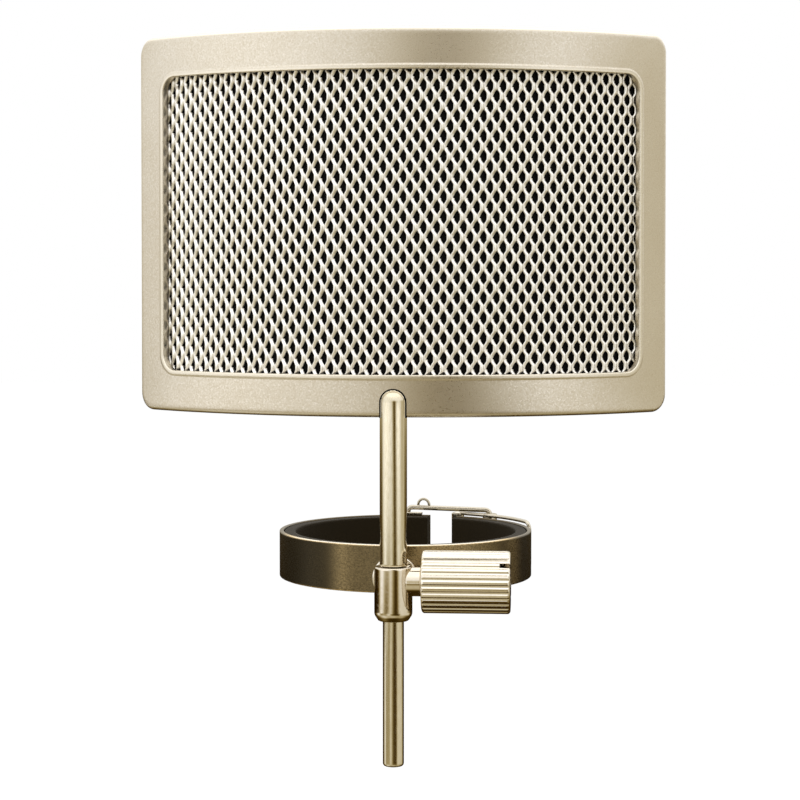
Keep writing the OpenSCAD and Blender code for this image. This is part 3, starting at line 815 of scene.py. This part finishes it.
    def keeper_fold(self) -> Surface:
        """The keeper plate's two edges, folded over the band's rims: short arc strips.

        Returns:
            The closed shells in one.
        """
        section = box_section(self.band_t / 2 + self.fold_over, self.fold_t / 2, self.fold_edge)
        high = (self.band_h + self.fold_t) / 2 + self.seat_gap
        ends = self.hook_at - self.fold_half, self.hook_at + self.fold_half
        return joined(*(arc_strip(section + (0, side * high), self.band_mid, *ends, 24)
                        for side in (1, -1)))

    def build(self, wardrobe: Wardrobe) -> None:
        """Makes and dresses the ring's pieces.

        Args:
            wardrobe: what makes and dresses each piece.
        """
        for name, shell, finish, body, slot, nodes in (
            ("spring_band", self.band(), BAND_NICKEL, Body.RING, Slot.BAND, ["ring_band"]),
            ("ring_liner", self.liner(), LINER_RUBBER, Body.RING, Slot.LINER, ["rubber_liner"]),
            ("latch_handle", self.lever(), WIRE_NICKEL, Body.LEVER, Slot.BRIGHT, ["latch_lever"]),
            ("latch_wire", self.bail(), WIRE_NICKEL, Body.BAIL, Slot.BRIGHT, ["wire_bail"]),
            ("keeper_fold", self.keeper_fold(), BRIGHT_NICKEL, Body.RING, Slot.BRIGHT, []),
        ):
            wardrobe.piece(name, shell, finish, body, nodes)
        wardrobe.keep(BRIGHT_NICKEL, "keeper_hook", "keeper_rivets", "lever_bracket",
                      "bracket_rivets", "lever_pin", "collar_rivet")


@dataclass
class RodClamp:
    """The stepped rod, the collar it slides in, the saddle behind it and the fluted thumb knob."""

    rod_y: float = -35.3
    band_or: float = 28.65
    upper_d: float = 5.8
    upper_top: float = 39.3
    spigot_r: float = 1.7
    foot_r: float = 0.3
    flat_run: float = 0.2
    lower_d: float = 4.5
    lower_l: float = 42.6
    end_r: float = 0.8
    collar_d: float = 8.1
    collar_l: float = 11.5
    collar_taper: float = 1.3
    collar_top: float = 1.6
    cross_z: float = -1.6
    boss_d: float = 6.2
    boss_l: float = 1.9
    boss_root: float = 2.7
    boss_edge: float = 0.3
    stem_d: float = 5.0
    stem_hole_r: float = 1.4
    stem_root: float = 3.1
    stem_edge: float = 0.1
    saddle_d: float = 9.8
    saddle_y: float = -30.91
    saddle_hub: float = 0.3
    saddle_rim: float = 1.0
    saddle_edge: float = 0.35
    seat_gap: float = 0.04
    face_gap: float = 0.15
    run_fit: float = 0.05
    stud_d: float = 3.9
    stud_in: float = 9.0
    knob_d: float = 13.2
    knob_l: float = 18.7
    knob_chamfer: float = 0.4
    knob_edge: float = 0.2
    flutes: int = 30
    flute_r: float = 0.55
    flute_depth: float = 0.22
    slot_w: float = 1.1
    slot_depth: float = 2.2
    slot_turn: float = 139.0
    screen_z: float = 33.2
    lap_y: float = -36.74

    def upper_rod(self) -> Surface:
        """The rod under the screen: a cylinder with a domed top, cut flat where it laps the rail.

        P(h, a) = (r(h) cos a, min(r(h) sin a, lap), h). r falls on a quarter circle at the dome,
        and the lap's limit on the y side holds only above the rail's lower edge.

        Returns:
            The closed shell.
        """
        r, f, low = self.upper_d / 2, self.foot_r, self.collar_top + self.face_gap
        edge = self.screen_z - self.seat_gap
        foot = np.array([(self.spigot_r, low), (r - f, low), (r - 0.3 * f, low + 0.3 * f),
                         (r, low + f), (r, low + f + self.flat_run)])
        wall = np.stack([np.full(3, r), np.array([edge - self.flat_run, edge, edge])], -1)
        # The dome stops just short of its pole.
        q = np.linspace(0, 0.49 * math.pi, 18)
        dome = np.stack([r * np.cos(q), self.upper_top - r + r * np.sin(q)], -1)
        profile = np.vstack([foot, wall, dome])
        cut = np.arange(len(profile)) >= len(foot) + len(wall) - 1
        a = np.linspace(0, 2 * math.pi, 128, endpoint=False)
        y = profile[:, :1] * np.sin(a)
        y = np.where(cut[:, None], np.minimum(y, self.lap_y - self.rod_y), y) + self.rod_y
        points = np.stack([profile[:, :1] * np.cos(a), y, profile[:, 1:] + 0 * a], -1)
        return grid_shell(points, cap=True).outward()

    def lower_rod(self) -> Surface:
        """The thinner rod: a turned profile with a rounded foot.

        Returns:
            The closed shell.
        """
        r, top = self.lower_d / 2, self.collar_top
        low = top + self.face_gap - self.lower_l
        corners = [(AXIS_R, low), (r, low), (r, top), (AXIS_R, top)]
        profile = eased(corners, [0, self.end_r, 0.1, 0], 8)
        return revolved(profile, 96).placed((0, self.rod_y, 0))

    def collar(self) -> Surface:
        """The turned sleeve with a rim and a tapered foot, its screw boss and its stem behind.

        Returns:
            The closed shells in one.
        """
        r, bore, top = self.collar_d / 2, self.lower_d / 2 + self.run_fit, self.collar_top
        low = top - self.collar_l
        corners = [(bore, low), ((r + bore) / 2, low), (r, low + self.collar_taper), (r, top),
                   (bore, top)]
        rounding = [0.1, 0.35, 0.6, 0.32, 0.15]
        sleeve = eased(corners, rounding, 7, loop=True)
        hole, end = self.stud_d / 2 + self.run_fit, r + self.boss_l
        back = self.saddle_y - self.rod_y
        boss = tube(hole, self.boss_d / 2, self.boss_root, end, self.boss_edge, steps=6, turns=96)
        stem = tube(self.stem_hole_r, self.stem_d / 2, self.stem_root, back, self.stem_edge,
                    steps=4, turns=64)
        axis = (0, self.rod_y, self.cross_z)
        return joined(
            revolved(sleeve, 128, ring=True).placed((0, self.rod_y, 0)),
            boss.placed(axis, (1, 0, 0)),
            stem.placed(axis, (0, 1, 0)),
        )

    def saddle(self) -> Surface:
        """The disc behind the collar: flat in front, and at the back laid on the band.

        P(k, a) = (q_k cos a, y_k, q_k sin a), where the back rows take y = -sqrt(R^2 - x^2).

        Returns:
            The closed shell.
        """
        r, a = self.saddle_d / 2, np.linspace(0, 2 * math.pi, 96, endpoint=False)
        front = eased([(self.saddle_hub, 0.0), (r, 0.0), (r, self.saddle_rim)], self.saddle_edge, 6)
        x, z = front[:, :1] * np.cos(a), front[:, :1] * np.sin(a)
        ahead = np.stack([x, self.saddle_y + front[:, 1:] + 0 * x, z + self.cross_z], -1)
        q = np.array([[r], [0.6 * r], [self.saddle_hub]])
        x, z = q * np.cos(a), q * np.sin(a)
        y = -np.sqrt((self.band_or + self.seat_gap) ** 2 - x**2)
        back = np.stack([x, y, z + self.cross_z], -1)
        return grid_shell(np.vstack([ahead, back]), cap=True).outward()

    def knob(self) -> Surface:
        """The fluted knob with a coin slot.

        P(k, a) = (x_k, q cos a, q sin a). q is the least of the turned outline and of the flutes'
        floor R - (sqrt(f^2 - s^2) - (f - depth)), s the arc from the nearest flute's middle. Points
        within half the slot's width of its line are no further out than the slot's floor.

        Returns:
            The closed shell.
        """
        big, length, c = self.knob_d / 2, self.knob_l, self.knob_chamfer
        hole, deep = self.stud_d / 2 + self.run_fit, self.stud_in + self.face_gap
        floor, flat = length - self.slot_depth, big - c
        # Rows this close together at the slot's floor let its walls stand upright.
        close = 0.05
        near = [(hole + 2 * close, 0.0), (flat, 0.0), (big, c), (big, floor - close)]
        far = [(big, floor + 2 * close), (big, length - c), (flat, length), (0.9 * big - c, length)]
        rings = np.linspace(0.86, 0.02, 16) * flat
        outline = np.vstack([
            [(AXIS_R, deep), (hole, deep), (hole, 0.0)],
            eased(near, self.knob_edge, 4),
            [(big, floor), (big, floor + close)],
            eased(far, self.knob_edge, 4),
            np.stack([rings, np.full_like(rings, length)], -1),
        ])
        turn = np.linspace(0, 2 * math.pi, 18 * self.flutes, endpoint=False)
        pitch = 2 * math.pi * big / self.flutes
        s = (turn * big + pitch / 2) % pitch - pitch / 2
        sunk = np.sqrt(np.maximum(self.flute_r**2 - s**2, 0)) - (self.flute_r - self.flute_depth)
        q = np.minimum(outline[:, :1], big - np.maximum(sunk, 0))
        side = np.abs(q * np.sin(turn - math.radians(self.slot_turn)))
        x = outline[:, 1:] + 0 * turn
        x = np.where(side < self.slot_w / 2, np.minimum(x, floor), x)
        x = x + self.collar_d / 2 + self.boss_l + self.face_gap
        y, z = self.rod_y + q * np.cos(turn), self.cross_z + q * np.sin(turn)
        return grid_shell(np.stack([x, y, z], -1), cap=True).outward()

    def build(self, wardrobe: Wardrobe) -> None:
        """Makes and dresses the rod's pieces.

        Args:
            wardrobe: what makes and dresses each piece.
        """
        for name, shell, finish, body, node, crease in (
            ("screen_rod", self.upper_rod(), DRAWN_NICKEL, Body.SCREEN, "rod_upper", 38.0),
            ("height_rod", self.lower_rod(), DRAWN_NICKEL, Body.LOWER_ROD, "rod_lower", 38.0),
            ("rod_collar", self.collar(), POLISHED_NICKEL, Body.RING, "collar", 38.0),
            ("collar_saddle", self.saddle(), BRIGHT_NICKEL, Body.RING, "saddle_washer", 38.0),
            ("fluted_knob", self.knob(), BRIGHT_NICKEL, Body.KNOB, "thumb_knob", 30.0),
        ):
            wardrobe.piece(name, shell, finish, body, [node], crease)
        wardrobe.keep(BRIGHT_NICKEL, "clamp_stud", "rod_rivet")


@dataclass
class CurvedScreen:
    """The framed sandwich of mesh, filter cloth and mesh, bent to a cylinder's wall."""

    radius: float = 84.0
    axis_y: float = 47.3
    width: float = 117.0
    height: float = 82.4
    low_z: float = 33.2
    rail_w: float = 9.0
    stile_w: float = 8.3
    corner_r: float = 4.0
    corner_least: float = 0.4
    window_r: float = 3.6
    face_t: float = 0.9
    lip_depth: float = 1.5
    hem_w: float = 2.2
    bead_h: float = 0.12
    bead_w: float = 0.8
    bead_ramp: float = 0.35
    hem_r: float = 78.66
    back_r: float = 77.76
    rear_r: float = 79.5
    rear_t: float = 0.8
    rear_edge: float = 0.25
    # How much lighter the rubbed edges are: partly wear, partly painted highlight.
    edge_rub_and_highlight: float = 0.75
    seat_gap: float = 0.04
    pitch_w: float = 2.91
    pitch_h: float = 4.27
    strand_w: float = 0.9
    strand_t: float = 0.48
    strand_turn: float = 20.0
    strand_bend: float = 1.45
    strand_edge: float = 0.14
    strand_crease: float = 60.0
    strand_margin: float = 1.0
    barb: float = 0.42
    front_mesh_r: float = 81.95
    rear_mesh_r: float = 80.18
    filter_r: float = 81.0
    filter_t: float = 0.4
    tuck: float = 3.0

    def __post_init__(self) -> None:
        """Works out half the frame's width along the curve, its height and what is tucked in."""
        self.half_w = self.radius * math.asin(self.width / 2 / self.radius)
        self.half_h = self.height / 2
        self.mid_z = self.low_z + self.half_h
        self.tucked_u = self.half_w - self.stile_w + self.tuck
        self.tucked_z = self.half_h - self.rail_w + self.tuck

    def bent(self, u: Array, z: Array, r: Array | float) -> Array:
        """Lays flat places on the curve: (r sin(u/R), axis - r cos(u/R), z + middle)."""
        t = u / self.radius
        return np.stack([r * np.sin(t), self.axis_y - r * np.cos(t), z + self.mid_z + 0 * t], -1)

    def outlines(self, inset: Array) -> Array:
        """Rounded rectangles at insets from the frame's edge, each a loop of (along, up) places.

        P = C (half - r) + D r, where C walks round a unit square and D is the outward direction,
        which turns at the corners. Up to half a rail's width the loop keeps parallel to the outer
        edge, and beyond it to the window's edge.

        Args:
            inset: one inset for each loop.

        Returns:
            Array of loops, points and places.
        """
        long, tall = np.linspace(-1, 1, 72), np.linspace(1, -1, 40)
        q = np.linspace(0, math.pi / 2, 12)[1:-1]
        # The upper side, a corner, the right side and a corner. The rest is opposite to these.
        runs = [(long, 1, 0, 1), (1, 1, np.sin(q), np.cos(q)),
                (1, tall, 1, 0), (1, -1, np.cos(q), -np.sin(q))]
        half = np.hstack([np.stack(np.broadcast_arrays(*run)) for run in runs])
        cx, cz, dx, dz = np.hstack([half, -half])[:, None]
        d = inset[:, None]
        outer, e = d < self.rail_w / 2, self.rail_w - d
        half_u = np.where(outer, self.half_w - d, self.half_w - self.stile_w + e)
        half_z = np.where(outer, self.half_h - d, self.half_h - self.rail_w + e)
        r = np.where(outer, np.maximum(self.corner_r - d, self.corner_least), self.window_r + e)
        return np.stack([cx * (half_u - r) + dx * r, cz * (half_z - r) + dz * r], -1)

    def ring_of(self, section: Array) -> Surface:
        """Carries a section of (inset, depth behind the front) round the frame's outline.

        Args:
            section: closed loop of places.

        Returns:
            The closed shell.
        """
        flat = self.outlines(section[:, 0])
        points = self.bent(flat[..., 0], flat[..., 1], self.radius - section[:, 1:])
        return grid_shell(points, wrap_u=True).outward()

    def front_frame(self) -> Surface:
        """The pressed face with its rolled edge, the window's bead and lip and the hem behind.

        Returns:
            The closed shell.
        """
        t, w, bead = self.face_t, self.rail_w, self.bead_h
        hem, back, ramp = self.radius - self.hem_r, self.radius - self.back_r, w - self.bead_w
        corners = [
            (self.hem_w, hem), (self.hem_w, back), (0, back), (0, 0),
            (ramp - self.bead_ramp, 0), (ramp, -bead), (w, -bead),
            (w, self.lip_depth), (w - t, self.lip_depth), (w - t, t), (t, t), (t, hem),
        ]
        rounding = [0.15, 0.3, 0.9, 1.1, 0.2, 0.2, 0.45, 0.2, 0.1, 0.2, 0.3, 0.2]
        section = eased(corners, rounding, 7, loop=True)
        shell = self.ring_of(section)
        # The outer edge and the window's lip are lighter, partly rubbed wear and partly painted edge
        # highlight: each a place and how far that reaches.
        rubs_and_highlights = (((0.3, 0.3), 0.55), ((w - 0.25, 0.05), 0.6))
        edge_rub_and_highlight = [np.clip(1 - np.hypot(*(section - at).T) / reach, 0, 1) for at, reach in rubs_and_highlights]
        worn_and_highlight = self.edge_rub_and_highlight * np.maximum(*edge_rub_and_highlight)
        shell.wear_and_highlight = np.repeat(worn_and_highlight, len(shell.points) // len(section))
        return shell

    def rear_frame(self) -> Surface:
        """The flat ring that closes the sandwich from behind, tucked into the hem.

        Returns:
            The closed shell.
        """
        near, edge = self.radius - self.rear_r, self.face_t + self.seat_gap
        deep = near + self.rear_t
        corners = [(edge, near), (edge, deep), (self.rail_w, deep), (self.rail_w, near)]
        return self.ring_of(eased(corners, self.rear_edge, 6, loop=True))

    def expanded_mesh(self, middle: float, face: int) -> Surface:
        """Raised expanded metal: upright ribbons that swing and meet their neighbours in turn.

        A ribbon's middle is (i pitch/2 + A s, D s) along and out of the sheet, with s the clipped
        sine of its height and the next ribbon half a wave later. Its flat section is turned about
        the upright, so that at a bond, where s is 1 for one ribbon and -1 for the next, the two lie
        edge to edge in one slanted face: A = (pitch/2 - w cos)/2 and D = w sin / 2. Half way up
        each hole the shears leave a barb: the edge on its left steps in and eases out again above.

        Args:
            middle: radius of the mesh's middle.
            face: 1 if its smooth side is outward, -1 if it is inward.

        Returns:
            The closed ribbons.
        """
        turn = math.radians(self.strand_turn)
        cos, sin = math.cos(turn), math.sin(turn)
        w, t, b = self.strand_w, self.strand_t, self.strand_edge
        swing, rise = (self.pitch_w / 2 - w * cos) / 2, w * sin / 2
        count = int((self.tucked_u - self.strand_margin) / (self.pitch_w / 2))
        waves = math.ceil(self.tucked_z / self.pitch_h) + 1
        # Heights in waves: the bends of both half waves, and the barb's foot, tip and end.
        half = np.array([0.0, 0.065, 0.121, 0.379, 0.435])
        foot, tip, top, slack = 0.69, 0.72, 0.879, 0.001
        phase = np.sort(np.concatenate([half, half + 0.5, [foot, tip]]))
        phase = (np.arange(-waves, waves)[:, None] + phase[None]).ravel()
        outline = np.array([
            (-w / 2, -t / 2), (w / 2, -t / 2), (w / 2, t / 2 - b), (w / 2 - b, t / 2),
            (-w / 2 + b, t / 2), (-w / 2, t / 2 - b),
        ])
        inner = np.array([0, 1, 1, 1, 0, 0])
        end = np.array([(0, 1, 2, 3), (0, 3, 4, 5)])
        shells = []
        for late in (0, 1):
            i = np.arange(-count + (count + late) % 2, count + 1, 2)[:, None, None]
            inside = np.abs((phase - 0.5 * late) * self.pitch_h) < self.tucked_z
            here = phase[inside][None, :, None]
            s = np.clip(self.strand_bend * np.sin(2 * math.pi * here), -1, 1)
            left = np.clip((top - here % 1) / (top - tip), 0, 1)
            bite = self.barb * np.where(here % 1 > tip - slack, left, 0)
            x, y = face * (outline[:, 0] - bite * inner), face * outline[:, 1]
            u = i * self.pitch_w / 2 + swing * s + x * cos + y * sin
            out = middle + rise * s - x * sin + y * cos
            points = self.bent(u, (here - 0.5 * late) * self.pitch_h, out)
            n, rows, sides = points.shape[:3]
            one = [grid_shell(points[0]).quads, end, end[:, ::-1] + (rows - 1) * sides]
            quads = np.vstack(one)[None] + np.arange(n)[:, None, None] * rows * sides
            shells.append(Surface(points.reshape(-1, 3), quads.reshape(-1, 4)).outward())
        return joined(*shells)

    def cloth(self) -> tuple[Surface, Array, tuple[float, float]]:
        """The filter cloth, one bent sheet: (u, z) on the curve at the filter's radius.

        Returns:
            The shell, each point's place on the flat cut in metres, and the cut's width and length.
        """
        share, half_u, half_z = self.filter_r / self.radius, self.tucked_u, self.tucked_z
        along, up = np.linspace(-half_u, half_u, 121), np.linspace(-half_z, half_z, 61)
        u, z = np.meshgrid(along, up, indexing="ij")
        shell = grid_shell(self.bent(u, z, self.filter_r), wrap_v=False)
        shell.quads = shell.quads[:, ::-1]
        cut = np.stack([u * share, z], -1).reshape(-1, 2) * MM
        return shell, cut, (2 * half_u * share * MM, 2 * half_z * MM)

    def build(self, wardrobe: Wardrobe) -> None:
        """Makes and dresses the screen's pieces.

        Args:
            wardrobe: what makes and dresses each piece.
        """
        for name, shell, node in (
            ("pressed_frame", self.front_frame(), "front_frame"),
            ("backing_frame", self.rear_frame(), "rear_frame"),
        ):
            wardrobe.piece(name, shell, BLASTED_NICKEL, Body.SCREEN, [node])
        for name, middle, face, node in (
            ("front_grille", self.front_mesh_r, 1, "front_mesh"),
            ("rear_grille", self.rear_mesh_r, -1, "rear_mesh"),
        ):
            wardrobe.piece(name, self.expanded_mesh(middle, face), STRAND_NICKEL, Body.SCREEN,
                           [node], self.strand_crease)
        shell, cut, flat = self.cloth()
        cloth = wardrobe.piece("filter_cloth", shell, FILTER_CLOTH, Body.SCREEN,
                               ["filter_sheet"], cut=cut)
        body = cloth.modifiers.new("thickness", "SOLIDIFY")
        body.thickness = self.filter_t * MM
        body.offset = 0.0


@dataclass
class Studio:
    """A white floor and surround, a light tent that reflections see, soft lamps and the camera."""

    day: float = 0.4
    floor_z: float = -0.3
    floor_half: float = 6.0
    floor_glow: float = 0.89
    floor_grey: float = 0.3
    tent_r: float = 3.0
    tent_at: tuple[float, float, float] = (0.0, -0.02, 0.04)
    lit_at: tuple[float, float, float] = (0.0, -0.02, 0.03)
    azimuth: float = 4.3
    tilt: float = -1.49
    distance: float = 0.4897
    eye_z: float = 0.0656
    ring_right: float = 0.00124
    lens: float = 96.9
    sensor: float = 36.0
    clip: float = 0.01
    shift_y: float = -0.1

    def seen(self, tree: bpy.types.NodeTree) -> Socket:
        """Tells what kind of ray meets a surface.

        Args:
            tree: where the nodes go.

        Returns:
            1 for a ray of the camera, of a reflection or through glass, and 0 for any other.
        """
        path = add_node(tree, "LightPath")
        seen = path["Is Camera Ray"]
        for ray in ("Is Glossy Ray", "Is Transmission Ray"):
            seen = add_node(tree, "Math", {"operation": "MAXIMUM", 0: seen, 1: path[ray]})[0]
        return seen

    def world(self) -> None:
        """White where the camera, glass or a reflection looks, and a plain level of light."""
        world = bpy.data.worlds.new("surround")
        bpy.context.scene.world = world
        tree = emptied(world)
        level = add_node(tree, "MapRange", {"Value": self.seen(tree), "To Min": self.day,
                                            "To Max": 1.0})[0]
        sky = add_node(tree, "Background", {"Color": WHITE, "Strength": level})[0]
        add_node(tree, "OutputWorld", {"Surface": sky})

    def staged(self, name: str, points: Array, wrap: bool, material: bpy.types.Material,
               tone: Array | None = None) -> bpy.types.Object:
        """Makes a grid of points into a stage object.

        Args:
            name: the object's name.
            points: array of rows, columns and xyz in metres.
            wrap: the last column joins the first.
            material: what it is covered with.
            tone: a light colour for each point, if its material reads one.

        Returns:
            The object.
        """
        mesh = grid_shell(points, wrap_v=wrap).mesh(name, 1.0)
        if tone is not None:
            mark = mesh.attributes.new("tone", "FLOAT_COLOR", "POINT")
            mark.data.foreach_set("color", tone.astype(np.float32).ravel())
        mesh.materials.append(material)
        made = bpy.data.objects.new(name, mesh)
        bpy.context.scene.collection.objects.link(made)
        return made

    def floor(self) -> None:
        """A pale floor that the camera sees as white, less the object's shadow."""
        paint = bpy.data.materials.new("matt_white_paper")
        tree = emptied(paint)
        glow = add_node(tree, "Math", {"operation": "MULTIPLY", 0: self.seen(tree),
                                       1: self.floor_glow})[0]
        lit = add_node(tree, "Emission", {"Color": WHITE, "Strength": glow})[0]
        matt = add_node(tree, "BsdfDiffuse", {"Color": (*[self.floor_grey] * 3, 1)})[0]
        both = add_node(tree, "AddShader", {0: lit, 1: matt})[0]
        add_node(tree, "OutputMaterial", {"Surface": both})
        line = np.linspace(-self.floor_half, self.floor_half, 3)
        x, y = np.meshgrid(line, line, indexing="ij")
        points = np.stack([x, y, np.full_like(x, self.floor_z)], -1)
        self.staged("floor", points, False, paint).visible_glossy = False

    def tent_tone(self, a: Array, e: Array) -> Array:
        """The tent's brightness by azimuth and elevation.

        At each height it is a sum of panels, which are bell curves of the azimuth, and soft steps
        of the elevation lead from height to height. At the eye's height there are a broad bright
        panel to the left, a narrow dark gap in front and smaller panels to the right, all raised a
        little where the low rail looks. Below, for the band, the collar and the lower rod, narrower
        panels stand between dark ends. The ceiling is bright. Of the floor only a table in front
        is lit.

        Args:
            a: azimuth in degrees from the front towards +X, in a row.
            e: elevation in degrees, in a column.

        Returns:
            The brightness on the grid of both.
        """
        def panels(*rows: tuple[Array | float, Array | float, Array | float]) -> Array:
            """Adds up panels, each given by its azimuth, its half width and its brightness."""
            return sum(level * bell(a, at, wide) for at, wide, level in rows)

        rod, band, collar = step(e, -5.6, 0.4), step(e, -8.3, 0.7), step(e, -10.45, 0.15)
        wall = 0.72 + panels((-55, 47, 0.68), (20 - 9 * rod, 14, -0.78), (50, 22, 0.5),
                             (124, 26, 0.4), (86, 27, -0.14))
        rail = np.exp(-(((e + 3.8) / 2.4) ** 2)) * (1 - step(a, 64, 5))
        wall = wall * (1 + rail * (0.2 + panels((38, 20, 0.3))))
        low = 0.04 + panels((-96 + 26 * collar, 17, 1.15), (-58, 14, 0.4 - 0.32 * collar),
                            (-24 + 13 * collar, 18 - 5 * collar, 0.85))
        low = low + 0.85 * between(a, 44 - 10 * collar, 3, 118, 4)
        aside = step(np.abs(a - 5), 97 + 7 * step(e, -8.1, 0.3), 4)
        ends = 1 - 0.9 * aside * (1 - step(e, -3.7, 0.8)) * collar
        tone = (low + (wall - low) * band) * ends
        for at, soft, ceiling in ((14, 3, 1.3), (42, 5, 1.8)):
            tone = tone + (ceiling - tone) * step(e, at, soft)
        table = 0.06 + panels((0, 50, 0.6), (-68, 32, 0.75), (70, 28, 0.4))
        for at, soft, ground in ((-22, 3, table), (-58, 4, 0.04)):
            tone = ground + (tone - ground) * step(e, at, soft)
        return tone

    def tent(self) -> None:
        """The light tent: a sphere that only reflections see, with finer rows at eye level.

        Dim places are warmer: green and blue fall off as powers of the brightness.
        """
        cloth = bpy.data.materials.new("tent_cloth")
        tree = emptied(cloth)
        light = add_node(tree, "Attribute", {"attribute_name": "tone"})["Color"]
        glow = add_node(tree, "Emission", {"Color": light, "Strength": 1.0})[0]
        add_node(tree, "OutputMaterial", {"Surface": glow})
        spans = (-89.5, -16, 80), (-15.8, 8, 120), (9, 89.5, 90)
        e = np.concatenate([np.linspace(*span) for span in spans])[:, None]
        a = np.linspace(-180, 180, 360, endpoint=False)[None]
        up, side = np.radians(e), np.radians(a)
        points = np.stack([np.cos(up) * np.sin(side), -np.cos(up) * np.cos(side),
                           np.sin(up) + 0 * side], -1)
        tone = self.tent_tone(a, e)
        darkest, white = 0.01, 1.1
        dim = np.minimum(np.maximum(tone, darkest) / white, 1)
        colour = np.stack([tone, tone * dim**0.2, tone * dim**0.85, np.ones_like(tone)], -1)
        made = self.staged("light_tent", points * self.tent_r + self.tent_at, True, cloth, colour)
        made.visible_camera = False
        made.visible_diffuse = False
        made.visible_shadow = False
        made.visible_volume_scatter = False

    def lamps(self) -> None:
        """Three soft lamps for what isn't metal: from the left, from the right and from above."""
        for name, place, size, power in (
            ("left_lamp", (-0.6, -0.6, 0.45), 0.5, 4.0),
            ("right_lamp", (0.65, -0.55, 0.4), 0.5, 3.2),
            ("top_lamp", (0.0, -0.05, 0.9), 0.6, 5.0),
        ):
            light = bpy.data.lights.new(name, "AREA")
            light.energy = power
            light.size = size
            lamp = bpy.data.objects.new(name, light)
            lamp.location = place
            x, y, z = np.subtract(self.lit_at, place)
            pitch = math.atan2(z, math.hypot(x, y)) + math.pi / 2
            lamp.rotation_euler = (pitch, 0, math.atan2(y, x) - math.pi / 2)
            lamp.visible_glossy = False
            bpy.context.scene.collection.objects.link(lamp)

    def camera(self) -> None:
        """A camera in front and a little to the knob's side, as the picture is framed."""
        lens = bpy.data.cameras.new("camera")
        lens.lens = self.lens
        lens.sensor_width = self.sensor
        lens.shift_y = self.shift_y
        lens.clip_start = self.clip
        turn = math.radians(self.azimuth)
        ahead = np.array([-math.sin(turn), math.cos(turn)])
        right = np.array([math.cos(turn), math.sin(turn)])
        camera = bpy.data.objects.new("camera", lens)
        camera.location = (*(-self.distance * ahead - self.ring_right * right), self.eye_z)
        camera.rotation_euler = (math.pi / 2 + math.radians(self.tilt), 0, turn)
        bpy.context.scene.collection.objects.link(camera)
        bpy.context.scene.camera = camera

    def build(self) -> None:
        """Sets up the studio."""
        self.camera()
        self.world()
        self.floor()
        self.tent()
        self.lamps()
        bpy.context.scene.view_settings.view_transform = "Standard"


def main() -> None:
    """Builds the studio and the object's sub-assemblies."""
    logging.basicConfig(level=logging.INFO, format="%(name)s %(message)s")
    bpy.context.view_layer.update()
    Studio().build()
    wardrobe = Wardrobe()
    for assembly in (CurvedScreen(), RodClamp(), RingClamp()):
        assembly.build(wardrobe)


if __name__ == "__main__":
    main()
